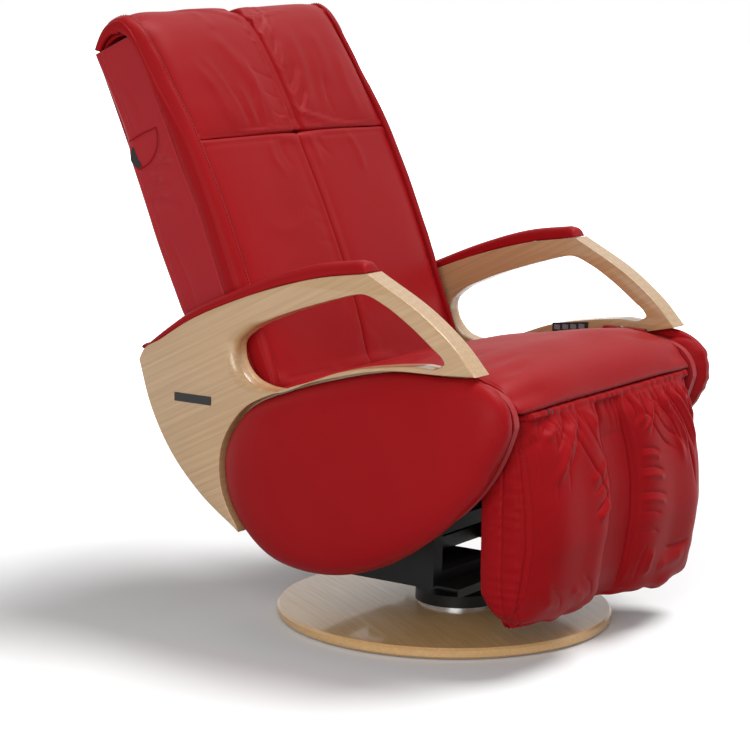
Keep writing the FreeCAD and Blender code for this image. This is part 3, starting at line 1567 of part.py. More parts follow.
def make_actuator(name, x, start, stop, way, tube_end, rod_start):
    """An electric linear actuator: eye, gearbox, side motor and tube, and its rod."""
    rise = float(stop[1]) - float(start[1])
    run = float(stop[0]) - float(start[0])
    length = math.hypot(rise, run)
    angle = math.degrees(math.atan2(rise, abs(run)))
    turn = FreeCAD.Rotation(Vector(way, 0, 0), angle)
    where = FreeCAD.Placement(Vector(float(x), float(start[0]), float(start[1])), turn)

    def stretch(low, high):
        """The low and high y of a stretch along the actuator."""
        return (low, high) if way > 0 else (-high, -low)

    half = s.actuator_eye_half
    box_end = s.gearbox_start + s.gearbox_long
    low, high = stretch(0.0 + s.actuator_eye_radius * 0.5, s.gearbox_start)
    parts = [
        rod(name + "_eye", "x", (-half, 0, 0), s.actuator_eye_radius, half * 2),
        block(name + "_neck", (-half, low, -half), (half, high, half)),
    ]
    low, high = stretch(s.gearbox_start, box_end)
    box = s.gearbox_half
    parts.append(block(name + "_gearbox", (-box, low, -box), (box, high, box)))
    motor_y = way * float(s.gearbox_start + s.gearbox_long / 2)
    motor_low, motor_high = span(way, box, box + s.actuator_motor_length)
    parts.append(rod(name + "_motor", "x", (motor_low, motor_y, 0), s.actuator_motor_radius,
                     s.actuator_motor_length))
    low, high = stretch(box_end, tube_end)
    parts.append(rod(name + "_tube", "y", (0, low, 0), s.actuator_tube_radius, high - low))
    bore_low, bore_high = stretch(box_end + s.lug_thick, tube_end + s.overrun)
    tools = [
        rod(name + "_bore", "y", (0, bore_low, 0), s.actuator_rod_radius + s.running_gap,
            bore_high - bore_low),
        rod(name + "_eye_bore", "x", (-half - s.overrun, 0, 0),
            s.actuator_pin_radius + s.running_gap, half * 2 + s.overrun * 2),
    ]
    body = cut(name, fused(name + "_blank", parts), tools)
    body.Placement = where
    tip = length - float(s.leg_lug_radius) * 1.4
    low, high = (float(rod_start), tip) if way > 0 else (-tip, -float(rod_start))
    near, far = (tip, length) if way > 0 else (-length, -tip)
    reach = s.lug_gap_half + s.lug_thick + s.hinge_pin_overhang
    shaft = fused(name + "_rod", [
        rod(name + "_shaft", "y", (0, low, 0), s.actuator_rod_radius, high - low),
        block(name + "_tang", (-half, near, -half * 1.5), (half, far, half * 1.5)),
        rod(name + "_rod_eye", "x", (-half, way * length, 0), s.actuator_eye_radius, half * 2),
        rod(name + "_rod_pin", "x", (-reach, way * length, 0), s.actuator_pin_radius,
            reach * 2),
    ])
    shaft.Placement = where
    return [body, shaft]


# Electrics under the seat

def make_electrics():
    low = s.mid_member + s.journal_radius
    box = block("control_box", (s.box_inner, low, RAIL_TOP),
                (s.box_outer, s.box_rear, RAIL_TOP + s.box_height))
    pump = block("air_pump", (-s.pump_outer, low, RAIL_TOP),
                 (-s.pump_inner, s.box_rear, RAIL_TOP + s.pump_height))
    x = s.inlet_middle
    z = RAIL_TOP + s.inlet_low
    rear = s.box_rear + s.inlet_depth
    shell = block("inlet_shell", (x - s.inlet_half, s.box_rear, z),
                  (x + s.inlet_half, rear, z + s.inlet_tall))
    wall = s.socket_wall
    socket = block("inlet_socket",
                   (x - s.inlet_half + wall, rear - s.socket_depth, z + wall),
                   (x + s.inlet_half - wall, rear + s.overrun, z + s.inlet_tall - wall))
    return [box, pump, cut("power_inlet", shell, [socket])]


def make_chair():
    pieces = []
    for make in (make_foot, make_swivel, make_top_plate, make_chassis, make_seat_pan,
                 make_seat_cushion, make_boards, make_arms, make_arm_pads, make_pods,
                 make_arm_trim, make_back_frame, make_back_shell, make_back_pad,
                 make_head_pad, make_rails, make_carriage, make_leg_pad, make_leg_frame,
                 make_hinges, make_actuators, make_electrics):
        pieces.extend(make())
    DOC.recompute()
    return pieces


def check_and_write(pieces):
    """Refuses a failed object or a bad shape, then writes one file for each piece."""
    for thing in DOC.Objects:
        if "Invalid" in thing.State or "Error" in thing.State:
            raise RuntimeError("failed: %s %s" % (thing.Name, thing.State))
    for piece in pieces:
        if piece.Shape.isNull() or not piece.Shape.isValid():
            raise RuntimeError("bad shape: " + piece.Label)
        if piece.Shape.Volume <= 0:
            raise RuntimeError("no volume: " + piece.Label)
    os.makedirs("parts", exist_ok=True)
    for piece in pieces:
        piece.Shape.exportStep("parts/%s.step" % piece.Label)
        print(piece.Label, len(piece.Shape.Solids), round(piece.Shape.Volume / 1000, 1))
    print(len(pieces), "pieces")


check_and_write(make_chair())
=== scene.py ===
"""Looks of the reflexology chair: leather cushions, bentwood arms, padded pods and finishes
over the CAD frame.

Lengths in this file are millimetres until a mesh is made, which is in metres.
"""

import math

import bmesh
import bpy
import numpy as np
from mathutils import Matrix, Vector
from mathutils.geometry import tessellate_polygon


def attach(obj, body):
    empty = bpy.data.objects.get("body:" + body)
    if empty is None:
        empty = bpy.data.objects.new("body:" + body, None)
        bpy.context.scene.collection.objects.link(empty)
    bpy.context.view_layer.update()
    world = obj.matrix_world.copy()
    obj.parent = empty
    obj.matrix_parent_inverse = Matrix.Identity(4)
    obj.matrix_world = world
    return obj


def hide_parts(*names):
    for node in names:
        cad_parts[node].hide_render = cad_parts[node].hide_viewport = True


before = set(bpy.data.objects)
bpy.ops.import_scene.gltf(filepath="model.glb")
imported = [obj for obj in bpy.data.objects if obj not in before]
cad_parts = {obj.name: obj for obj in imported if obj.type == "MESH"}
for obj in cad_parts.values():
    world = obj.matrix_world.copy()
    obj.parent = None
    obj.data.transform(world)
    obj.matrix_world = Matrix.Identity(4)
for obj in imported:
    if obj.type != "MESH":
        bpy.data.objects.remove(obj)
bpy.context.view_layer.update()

MM = 0.001
SIDES = ((1, "left"), (-1, "right"))
CUSHION_HALF = 298.0      # half the width of the seat and back cushions before their round edge
CLOTH_REACH, POD_REACH = 4.0, 3.0      # the furthest that air may push a cushion, or a pod


# Curves and tables

def smooth(rows, at):
    """Columns of a table at new places: cubic Hermite pieces whose slopes are the harmonic
    mean of the chords beside each row, and zero where the chords change sign."""
    rows = np.asarray(rows, float)
    x, y = rows[:, 0], rows[:, 1:]
    step = np.diff(x)[:, None]
    chord = np.diff(y, axis=0) / step
    a, b = chord[:-1], chord[1:]
    total = np.where(a * b > 0, a + b, 1)
    inner = np.where(a * b > 0, 2 * a * b / total, 0)
    slope = np.vstack([chord[:1], inner, chord[-1:]])
    at = np.clip(np.asarray(at, float), x[0], x[-1])
    i = np.clip(np.searchsorted(x, at, side="right") - 1, 0, len(x) - 2)
    h = step[i]
    t = ((at - x[i]) / step[i, 0])[:, None]
    return ((2 * t**3 - 3 * t**2 + 1) * y[i] + (t**3 - 2 * t**2 + t) * h * slope[i]
            + (3 * t**2 - 2 * t**3) * y[i + 1] + (t**3 - t**2) * h * slope[i + 1])


def evenly(points, count, closed=False):
    """The polyline at `count` places an equal length apart."""
    points = np.asarray(points, float)
    if closed:
        points = np.vstack([points, points[:1]])
    run = np.concatenate([[0], np.cumsum(np.linalg.norm(np.diff(points, axis=0), axis=1))])
    at = np.linspace(0, run[-1], count + 1 if closed else count)[:count]
    return np.stack([np.interp(at, run, points[:, k]) for k in range(points.shape[1])], 1)


def through(points, count=200, closed=False):
    """A smooth line through the points: cubic Hermite pieces on chord length, whose tangents
    run from each point's neighbour before to its neighbour after, then spaced evenly."""
    p = np.asarray(points, float)
    if closed:
        p = np.vstack([p[-1:], p, p[:2]])
    run = np.concatenate([[0], np.cumsum(np.linalg.norm(np.diff(p, axis=0), axis=1))])
    slope = np.gradient(p, run, axis=0)
    low, high = (run[1], run[-2]) if closed else (run[0], run[-1])
    at = np.linspace(low, high, 1200)
    i = np.clip(np.searchsorted(run, at, side="right") - 1, 0, len(run) - 2)
    h = (run[i + 1] - run[i])[:, None]
    t = (at - run[i])[:, None] / h
    line = ((2 * t**3 - 3 * t**2 + 1) * p[i] + (t**3 - 2 * t**2 + t) * h * slope[i]
            + (3 * t**2 - 2 * t**3) * p[i + 1] + (t**3 - t**2) * h * slope[i + 1])
    if closed:
        return evenly(line[:-1], count, True)
    return evenly(line, count)


def cornered(runs, count, like=None):
    """A closed outline of smooth runs that meet at corners, every run with its share of the
    points, or with the share that the run of another outline has."""
    lines = [through(run, 400) for run in runs]
    shares = [np.linalg.norm(np.diff(through(run, 400), axis=0), axis=1).sum()
              for run in (like or runs)]
    parts = []
    for line, length in zip(lines, shares):
        number = max(3, int(round(count * length / sum(shares))))
        parts.append(evenly(line, number + 1)[:-1])
    return np.vstack(parts)


def outward(path):
    """Unit normals of a closed path in its plane, on the side away from its area."""
    ahead = np.roll(path, -1, 0) - np.roll(path, 1, 0)
    normal = np.stack([ahead[:, 1], -ahead[:, 0]], 1)
    normal /= np.maximum(np.linalg.norm(normal, axis=1), 1e-9)[:, None]
    after = np.roll(path, -1, 0)
    area = (path[:, 0] * after[:, 1] - after[:, 0] * path[:, 1]).sum()
    return normal if area > 0 else -normal


def bell(distance, width):
    """A rounded ridge: e to the minus square of the distance over the width."""
    return np.exp(-(distance / width) ** 2)


def noise(u, v, seed, waves=9, low=1.0, high=4.0):
    """Soft unevenness from -1 to 1: a sum of sine waves whose directions and phases come from
    a seeded generator."""
    source = np.random.default_rng(seed)
    turn = source.uniform(0, 2 * np.pi, waves)
    rate = source.uniform(low, high, waves)
    start = source.uniform(0, 2 * np.pi, waves)
    total = np.zeros(np.broadcast(u, v).shape)
    for a, k, s in zip(turn, rate, start):
        total = total + np.sin((u * np.cos(a) + v * np.sin(a)) * k + s)
    return total / waves * 1.6


def strokes(u, v, marks):
    """Heights over a chart from drawn folds. A fold is a polyline with a height and a width:
    its height at a place is the bell of the distance to it, or for a crease the exponential of
    that distance, fading towards both its ends."""
    total = np.zeros(u.shape)
    for height, width, points in marks:
        p = through(points, 24) if len(points) > 2 else evenly(points, 24)
        run = np.linspace(0, 1, 24)
        fade = np.minimum(1, np.minimum(run, 1 - run) * 4 + 0.12)
        reach = width * 3.2
        near = ((u > p[:, 0].min() - reach) & (u < p[:, 0].max() + reach)
                & (v > p[:, 1].min() - reach) & (v < p[:, 1].max() + reach))
        if not near.any():
            continue
        a, b = u[near], v[near]
        best = np.full(a.shape, 1e9)
        strength = np.zeros(a.shape)
        for k in range(23):
            d = p[k + 1] - p[k]
            t = np.clip(((a - p[k, 0]) * d[0] + (b - p[k, 1]) * d[1]) / max(d @ d, 1e-9), 0, 1)
            gap = np.hypot(a - p[k, 0] - t * d[0], b - p[k, 1] - t * d[1])
            closer = gap < best
            best = np.where(closer, gap, best)
            strength = np.where(closer, fade[k] + (fade[k + 1] - fade[k]) * t, strength)
        shape = bell(best, width) if height > 0 else np.exp(-best / (0.62 * width))
        total[near] += height * strength * shape
    return total


# Meshes

def grid_faces(rows, cols, wrap_rows=False, wrap_cols=False, start=0):
    """Four-sided faces of a grid of points numbered row by row."""
    r = np.arange(rows if wrap_rows else rows - 1)[:, None]
    c = np.arange(cols if wrap_cols else cols - 1)[None, :]
    r2, c2 = (r + 1) % rows, (c + 1) % cols
    quads = np.stack([r * cols + c, r * cols + c2, r2 * cols + c2, r2 * cols + c], -1)
    return (quads.reshape(-1, 4) + start).tolist()


def piece(name, points, faces, material, body, sharp=None, closed=True):
    """A mesh of these points, in millimetres, and faces, turned outwards, riding on its body."""
    mesh = bpy.data.meshes.new(name)
    points = np.asarray(points, float)
    if closed:
        volume = 0.0
        sizes = {len(face) for face in faces}
        for size in sizes:
            f = np.array([face for face in faces if len(face) == size])
            for k in range(1, size - 1):
                a, b, c = points[f[:, 0]], points[f[:, k]], points[f[:, k + 1]]
                volume += np.einsum("ij,ij->i", a, np.cross(b, c)).sum()
        if volume < 0:
            faces = [face[::-1] for face in faces]
    mesh.from_pydata((points * MM).tolist(), [], faces)
    mesh.update()
    mesh.shade_smooth()
    if sharp is not None:
        mesh.set_sharp_from_angle(angle=math.radians(sharp))
    obj = bpy.data.objects.new(name, mesh)
    bpy.context.scene.collection.objects.link(obj)
    mesh.materials.append(material)
    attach(obj, body)
    return obj


def softened(obj, levels=1):
    """Subdivision on a finished piece."""
    made = obj.modifiers.new("smooth", "SUBSURF")
    made.levels = made.render_levels = levels
    return obj


def plumped(points, faces, held, reach, pressure=4.0, frames=20):
    """The points after a cloth under air pressure has filled them out: pinned where
    held, no point further from its start than `reach`."""
    mesh = bpy.data.meshes.new("cloth")
    mesh.from_pydata((points * MM).tolist(), [], faces)
    mesh.update()
    obj = bpy.data.objects.new("cloth", mesh)
    scene = bpy.context.scene
    scene.collection.objects.link(obj)
    group = obj.vertex_groups.new(name="held")
    group.add([int(k) for k in np.nonzero(held)[0]], 1.0, "REPLACE")
    cloth = obj.modifiers.new("cloth", "CLOTH")
    settings = cloth.settings
    settings.quality = 5
    settings.mass = 0.4
    settings.tension_stiffness = settings.compression_stiffness = 12
    settings.shear_stiffness = 6
    settings.bending_stiffness = 0.6
    settings.use_pressure = True
    settings.uniform_pressure_force = pressure
    settings.effector_weights.gravity = 0
    settings.vertex_group_mass = "held"
    cloth.collision_settings.use_collision = False
    cloth.point_cache.frame_start = 1
    cloth.point_cache.frame_end = frames
    for number in range(1, frames + 1):
        scene.frame_set(number)
    ready = obj.evaluated_get(bpy.context.evaluated_depsgraph_get()).to_mesh()
    co = np.zeros(len(points) * 3)
    ready.vertices.foreach_get("co", co)
    moved = co.reshape(-1, 3) / MM - points
    obj.evaluated_get(bpy.context.evaluated_depsgraph_get()).to_mesh_clear()
    scene.frame_set(1)
    bpy.data.objects.remove(obj)
    bpy.data.meshes.remove(mesh)
    size = np.linalg.norm(moved, axis=1)
    size[~np.isfinite(size)] = 0
    moved[~np.isfinite(moved)] = 0
    keep = np.minimum(1, reach / np.maximum(size, 1e-6))
    return points + moved * keep[:, None]


def grid_normals(grid, wrap_cols=True):
    """Unit normals over a grid of points: the cross product of the differences along its rows
    and columns."""
    along = np.gradient(grid, axis=0)
    if wrap_cols:
        across = np.roll(grid, -1, 1) - np.roll(grid, 1, 1)
    else:
        across = np.gradient(grid, axis=1)
    normal = np.cross(across, along)
    return normal / np.maximum(np.linalg.norm(normal, axis=2), 1e-9)[..., None]


def tube(line, radius, sides=8, closed=False):
    """Points and faces of a round tube: circles carried along a line, square to it, in frames
    turned as little as possible from one to the next."""
    line = np.asarray(line, float)
    ahead = np.gradient(line, axis=0) if not closed else np.roll(line, -1, 0) - np.roll(line, 1, 0)
    ahead /= np.linalg.norm(ahead, axis=1)[:, None]
    up = np.array([0, 0, 1.0]) if abs(ahead[0][2]) < 0.9 else np.array([0, 1.0, 0])
    ups = []
    for t in ahead:
        up = up - t * (t @ up)
        up /= np.linalg.norm(up)
        ups.append(up)
    ups = np.array(ups)
    beside = np.cross(ahead, ups)
    turn = np.arange(sides) * 2 * np.pi / sides
    ring = (ups[:, None] * np.cos(turn)[None, :, None]
            + beside[:, None] * np.sin(turn)[None, :, None])
    points = (line[:, None] + ring * np.reshape(radius, (-1, 1, 1))).reshape(-1, 3)
    rows = len(line)
    faces = grid_faces(rows, sides, wrap_rows=closed, wrap_cols=True)
    if not closed:
        faces += [list(range(sides))[::-1], [(rows - 1) * sides + k for k in range(sides)]]
    return points, faces


def joined(parts):
    """Several sets of points and faces as one."""
    points, faces, start = [], [], 0
    for p, f in parts:
        points.append(p)
        faces += [[k + start for k in face] for face in f]
        start += len(p)
    return np.vstack(points), faces


def stitched(name, line, normal, material, body, pitch=5.6, thick=0.62):
    """A row of sewing stitches: short capsules laid end to end along a line on the leather,
    each a six-sided tube with narrowed ends."""
    line = np.asarray(line, float)
    length = np.linalg.norm(np.diff(line, axis=0), axis=1).sum()
    count = max(2, int(length / pitch))
    fine = evenly(line, count * 8 + 1)
    lift = evenly(np.broadcast_to(normal, line.shape) + 0.0, count * 8 + 1) if np.ndim(normal) > 1 \
        else np.broadcast_to(np.asarray(normal, float), fine.shape)
    parts = []
    radius = np.array([0.35, 1, 1, 1, 0.35]) * thick
    for k in range(count):
        run = fine[k * 8: k * 8 + 5]
        up = lift[k * 8: k * 8 + 5]
        hop = np.array([0, 0.5, 0.7, 0.5, 0])[:, None] * thick
        parts.append(tube(run + up * hop, radius, 6))
    points, faces = joined(parts)
    return piece(name, points, faces, material, body)


# Finishes

def node(tree, kind, **values):
    made = tree.nodes.new(kind)
    for key, value in values.items():
        if key in made.inputs:
            made.inputs[key].default_value = value
        else:
            setattr(made, key, value)
    return made


def ramp(tree, source, stops):
    """A colour ramp on a value, as rows of place and colour."""
    made = tree.nodes.new("ShaderNodeValToRGB")
    made.color_ramp.elements.remove(made.color_ramp.elements[-1])
    for number, (place, colour) in enumerate(stops):
        stop = made.color_ramp.elements[0] if number == 0 else made.color_ramp.elements.new(place)
        stop.position = place
        stop.color = (*colour, 1) if len(colour) == 3 else colour
    tree.links.new(source, made.inputs[0])
    return made.outputs[0]


def mixed(tree, share, a, b, mode="MIX"):
    """One colour turned into another by a share."""
    made = tree.nodes.new("ShaderNodeMix")
    made.data_type = "RGBA"
    made.blend_type = mode
    for place, value in ((0, share), (6, a), (7, b)):
        if isinstance(value, (int, float)):
            made.inputs[place].default_value = value
        elif isinstance(value, tuple):
            made.inputs[place].default_value = (*value, 1)
        else:
            tree.links.new(value, made.inputs[place])
    return made.outputs[2]


def sums(tree, kind, a, b, c=None):
    """A Math node on sockets or numbers."""
    made = tree.nodes.new("ShaderNodeMath")
    made.operation = kind
    for place, value in enumerate((a, b, c)):
        if value is None:
            continue
        if isinstance(value, (int, float)):
            made.inputs[place].default_value = value
        else:
            tree.links.new(value, made.inputs[place])
    return made.outputs[0]


def effect(name, inputs, outputs):
    """An empty shader group with named inputs and outputs, and its two end nodes."""
    tree = bpy.data.node_groups.new(name, "ShaderNodeTree")
    for label, kind, value in inputs:
        socket = tree.interface.new_socket(name=label, in_out="INPUT", socket_type=kind)
        if value is not None:
            socket.default_value = value
    for label, kind in outputs:
        tree.interface.new_socket(name=label, in_out="OUTPUT", socket_type=kind)
    return tree, tree.nodes.new("NodeGroupInput"), tree.nodes.new("NodeGroupOutput")


COLOUR, VALUE, VECTOR = "NodeSocketColor", "NodeSocketFloat", "NodeSocketVector"


def leather_effect():
    """Fine leather: cells of grain a millimetre across, pores, soft creases and slow shifts of
    colour, with roughness that follows the grain."""
    tree, source, out = effect(
        "leather grain",
        [("Place", VECTOR, None), ("Colour", COLOUR, (0.4, 0.02, 0.03, 1)),
         ("Deep colour", COLOUR, (0.2, 0.005, 0.01, 1)), ("Grain size", VALUE, 900.0),
         ("Crease size", VALUE, 16.0)],
        [("Colour", COLOUR), ("Roughness", VALUE), ("Height", VALUE)])
    link = tree.links.new
    cells = node(tree, "ShaderNodeTexVoronoi", feature="F1")
    fine = node(tree, "ShaderNodeTexNoise", Detail=3.0, Roughness=0.6)
    crease = node(tree, "ShaderNodeTexNoise", Detail=4.0, Roughness=0.55, Distortion=0.6)
    slow = node(tree, "ShaderNodeTexNoise", Scale=4.5, Detail=2.0)
    for made in (cells, fine, crease, slow):
        link(source.outputs["Place"], made.inputs["Vector"])
    link(source.outputs["Grain size"], cells.inputs["Scale"])
    link(sums(tree, "MULTIPLY", source.outputs["Grain size"], 0.45), fine.inputs["Scale"])
    link(source.outputs["Crease size"], crease.inputs["Scale"])
    shade = ramp(tree, slow.outputs["Fac"], [(0.32, (0, 0, 0)), (0.72, (1, 1, 1))])
    colour = mixed(tree, sums(tree, "MULTIPLY", shade, 0.22), source.outputs["Colour"],
                   source.outputs["Deep colour"])
    pores = ramp(tree, cells.outputs["Distance"], [(0.0, (1, 1, 1)), (0.35, (0, 0, 0))])
    colour = mixed(tree, sums(tree, "MULTIPLY", pores, 0.10), colour,
                   source.outputs["Deep colour"])
    rough = sums(tree, "MULTIPLY_ADD", fine.outputs["Fac"], 0.12, 0.38)
    rough = sums(tree, "MULTIPLY_ADD", shade, 0.05, rough)
    height = sums(tree, "MULTIPLY", cells.outputs["Distance"], -0.10)
    height = sums(tree, "MULTIPLY_ADD", fine.outputs["Fac"], 0.10, height)
    height = sums(tree, "MULTIPLY_ADD", crease.outputs["Fac"], 2.2, height)
    link(colour, out.inputs["Colour"])
    link(rough, out.inputs["Roughness"])
    link(height, out.inputs["Height"])
    return tree


def wood_effect():
    """Oiled beech: long streaks along one direction from stretched noise, soft flame figure
    from a wave bent by noise, and short dark flecks."""
    tree, source, out = effect(
        "wood figure",
        [("Place", VECTOR, None), ("Pale", COLOUR, (0.6, 0.4, 0.2, 1)),
         ("Dark", COLOUR, (0.4, 0.25, 0.12, 1)), ("Layers", VALUE, 0.0)],
        [("Colour", COLOUR), ("Roughness", VALUE), ("Height", VALUE)])
    link = tree.links.new

    def stretched(scale):
        made = node(tree, "ShaderNodeMapping")
        made.inputs["Scale"].default_value = scale
        link(source.outputs["Place"], made.inputs["Vector"])
        return made.outputs[0]

    long_streak = node(tree, "ShaderNodeTexNoise", Scale=1.0, Detail=5.0, Roughness=0.62)
    link(stretched((230.0, 3.2, 230.0)), long_streak.inputs["Vector"])
    figure = node(tree, "ShaderNodeTexWave", Scale=1.0, Distortion=6.0, Detail=2.0)
    figure.bands_direction = "Z"
    link(stretched((20.0, 1.0, 24.0)), figure.inputs["Vector"])
    fleck = node(tree, "ShaderNodeTexVoronoi", Scale=1.0, Randomness=1.0)
    link(stretched((620.0, 62.0, 620.0)), fleck.inputs["Vector"])
    share = ramp(tree, long_streak.outputs["Fac"], [(0.30, (0, 0, 0)), (0.74, (1, 1, 1))])
    colour = mixed(tree, sums(tree, "MULTIPLY", share, 0.62), source.outputs["Pale"],
                   source.outputs["Dark"])
    colour = mixed(tree, sums(tree, "MULTIPLY", figure.outputs["Fac"], 0.20), colour,
                   source.outputs["Dark"])
    marks = ramp(tree, fleck.outputs["Distance"], [(0.0, (1, 1, 1)), (0.17, (0, 0, 0))])
    colour = mixed(tree, sums(tree, "MULTIPLY", marks, 0.38), colour, source.outputs["Dark"])
    layer = node(tree, "ShaderNodeTexWave", Scale=1.0, Distortion=0.25, Detail=1.0)
    layer.bands_direction = "X"
    link(stretched((88.0, 88.0, 88.0)), layer.inputs["Vector"])
    line = ramp(tree, layer.outputs["Fac"], [(0.0, (1, 1, 1)), (0.09, (0, 0, 0))])
    line = sums(tree, "MULTIPLY", line, source.outputs["Layers"])
    colour = mixed(tree, sums(tree, "MULTIPLY", line, 0.45), colour, source.outputs["Dark"])
    rough = sums(tree, "MULTIPLY_ADD", share, 0.14, 0.34)
    height = sums(tree, "MULTIPLY_ADD", share, -0.12, sums(tree, "MULTIPLY", marks, -0.10))
    link(colour, out.inputs["Colour"])
    link(rough, out.inputs["Roughness"])
    link(height, out.inputs["Height"])
    return tree


def coat_effect():
    """Paint, plastic or metal skin: a fine orange-peel height, dust that settles on what faces
    up, and slow shifts of tone."""
    tree, source, out = effect(
        "coated skin",
        [("Place", VECTOR, None), ("Colour", COLOUR, (0.02, 0.02, 0.02, 1)),
         ("Dust colour", COLOUR, (0.2, 0.2, 0.2, 1)), ("Dust", VALUE, 0.1),
         ("Grain size", VALUE, 600.0), ("Base roughness", VALUE, 0.4)],
        [("Colour", COLOUR), ("Roughness", VALUE), ("Height", VALUE)])
    link = tree.links.new
    fine = node(tree, "ShaderNodeTexNoise", Detail=2.0)
    slow = node(tree, "ShaderNodeTexNoise", Scale=26.0, Detail=3.0)
    for made in (fine, slow):
        link(source.outputs["Place"], made.inputs["Vector"])
    link(source.outputs["Grain size"], fine.inputs["Scale"])
    shape = tree.nodes.new("ShaderNodeNewGeometry")
    split = tree.nodes.new("ShaderNodeSeparateXYZ")
    link(shape.outputs["Normal"], split.inputs[0])
    up = sums(tree, "MAXIMUM", split.outputs["Z"], 0.0)
    dust = sums(tree, "MULTIPLY", sums(tree, "MULTIPLY", up, slow.outputs["Fac"]),
                source.outputs["Dust"])
    link(mixed(tree, dust, source.outputs["Colour"], source.outputs["Dust colour"]),
         out.inputs["Colour"])
    rough = sums(tree, "MULTIPLY_ADD", slow.outputs["Fac"], 0.16,
                 source.outputs["Base roughness"])
    link(sums(tree, "MULTIPLY_ADD", dust, 0.4, rough), out.inputs["Roughness"])
    link(fine.outputs["Fac"], out.inputs["Height"])
    return tree


LEATHER, WOOD, SKIN = leather_effect(), wood_effect(), coat_effect()


def rgb(r, g, b):
    """A colour given as 0 to 255 display values, in the linear values that shaders take."""
    v = np.array([r, g, b]) / 255
    return tuple(float(x) for x in np.where(v <= 0.04045, v / 12.92, ((v + 0.055) / 1.055)**2.4))


def finish_of(name, group, values, bump, distance, turn=None, **shader):
    """A material from one shared effect, its own values, and a Principled shader."""
    made = bpy.data.materials.new(name)
    made.use_nodes = True
    tree = made.node_tree
    skin = tree.nodes["Principled BSDF"]
    for key, value in shader.items():
        skin.inputs[key.replace("_", " ")].default_value = value
    box = tree.nodes.new("ShaderNodeGroup")
    box.node_tree = group
    for key, value in values.items():
        box.inputs[key].default_value = (*value, 1) if isinstance(value, tuple) else value
    where = tree.nodes.new("ShaderNodeTexCoord").outputs["Object"]
    if turn is not None:
        mapping = tree.nodes.new("ShaderNodeMapping")
        mapping.inputs["Rotation"].default_value = [math.radians(t) for t in turn]
        tree.links.new(where, mapping.inputs["Vector"])
        where = mapping.outputs[0]
    tree.links.new(where, box.inputs["Place"])
    tree.links.new(box.outputs["Colour"], skin.inputs["Base Color"])
    tree.links.new(box.outputs["Roughness"], skin.inputs["Roughness"])
    relief = tree.nodes.new("ShaderNodeBump")
    relief.inputs["Strength"].default_value = bump
    relief.inputs["Distance"].default_value = distance
    tree.links.new(box.outputs["Height"], relief.inputs["Height"])
    tree.links.new(relief.outputs["Normal"], skin.inputs["Normal"])
    return made


def leather(name, colour, deep, **shader):
    values = {"Colour": colour, "Deep colour": deep}
    return finish_of(name, LEATHER, values, 0.22, 0.0012, **shader)


def wood(name, pale, dark, turn, layers=0.0, **shader):
    values = {"Pale": pale, "Dark": dark, "Layers": layers}
    return finish_of(name, WOOD, values, 0.25, 0.0004, turn, **shader)


def skin_of(name, colour, dust=0.1, grain=700.0, rough=0.35, bump=0.12, **shader):
    values = {"Colour": colour, "Dust": dust, "Grain size": grain, "Base roughness": rough,
              "Dust colour": rgb(120, 118, 112)}
    return finish_of(name, SKIN, values, bump, 0.0003, **shader)


GLOW = (1.0, 0.55, 0.55, 1.0)
RED = leather("red leather", rgb(156, 21, 26), rgb(128, 8, 13), Specular_IOR_Level=0.12,
              Specular_Tint=GLOW)
# Painted light: the side panels' leather is a copy of the red leather painted lighter, standing in
# for the fill light that falls on the sides.
RED_SIDE_PAINTED_LIGHT = leather("red side leather painted lighter", rgb(166, 38, 44), rgb(140, 20, 26),
                   Specular_IOR_Level=0.16, Specular_Tint=GLOW, Sheen_Weight=0.08)
RED_LEG = leather("red leg leather", rgb(158, 23, 28), rgb(126, 8, 13), Specular_IOR_Level=0.05,
                  Specular_Tint=GLOW)
THREAD = skin_of("red thread", rgb(112, 8, 14), dust=0.0, grain=2400.0, rough=0.6,
                 Specular_IOR_Level=0.2)
# Painted shade: a near-black colour for the plug in the pocket's mouth, standing in for the shadow
# inside the pocket.
POCKET_SHADE_PLUG = skin_of("painted pocket shade", rgb(14, 12, 12), dust=0.0, grain=1800.0, rough=0.8)
ARM_WOOD = wood("beech arm", rgb(196, 160, 116), rgb(160, 122, 80), (26.0, 0.0, 0.0), 0.0,
                Coat_Weight=0.6, Coat_Roughness=0.10)
# Painted light: the foot's beech has its grain turned for the disc, and its colour is painted paler
# than the arms' beech to make up for the chair's shadow over the foot.
FOOT_WOOD_PAINTED_LIGHT = wood("beech foot painted paler", rgb(230, 188, 132), rgb(198, 148, 90), (0.0, 0.0, 32.0), 0.0,
                 Coat_Weight=0.5, Coat_Roughness=0.10)
PLY_WOOD = wood("plywood", rgb(196, 160, 114), rgb(150, 112, 72), (0.0, 90.0, 0.0), 1.0)
BLACK_STEEL = skin_of("black powder coat", rgb(13, 12, 12), dust=0.05, grain=1500.0, rough=0.40,
                      Specular_IOR_Level=0.25)
BRIGHT_STEEL = skin_of("bright steel", rgb(188, 188, 190), dust=0.03, grain=2600.0, rough=0.16,
                       Metallic=1.0)
BLACK_PLASTIC = skin_of("black plastic", rgb(24, 24, 25), dust=0.06, grain=2200.0, rough=0.42)
GREY_PLASTIC = skin_of("grey plastic", rgb(120, 122, 124), dust=0.04, grain=2200.0, rough=0.40)
MOTOR = skin_of("motor housing", rgb(64, 66, 70), dust=0.10, grain=1200.0, rough=0.34,
                Metallic=0.6)
RUBBER = skin_of("rubber", rgb(22, 21, 21), dust=0.10, grain=1600.0, rough=0.66)
FELT = skin_of("felt", rgb(70, 66, 62), dust=0.05, grain=3200.0, rough=0.86, bump=0.5)
NAME_PLATE = skin_of("anodised plate", rgb(18, 18, 19), dust=0.02, grain=3000.0, rough=0.30,
                     Metallic=0.4)
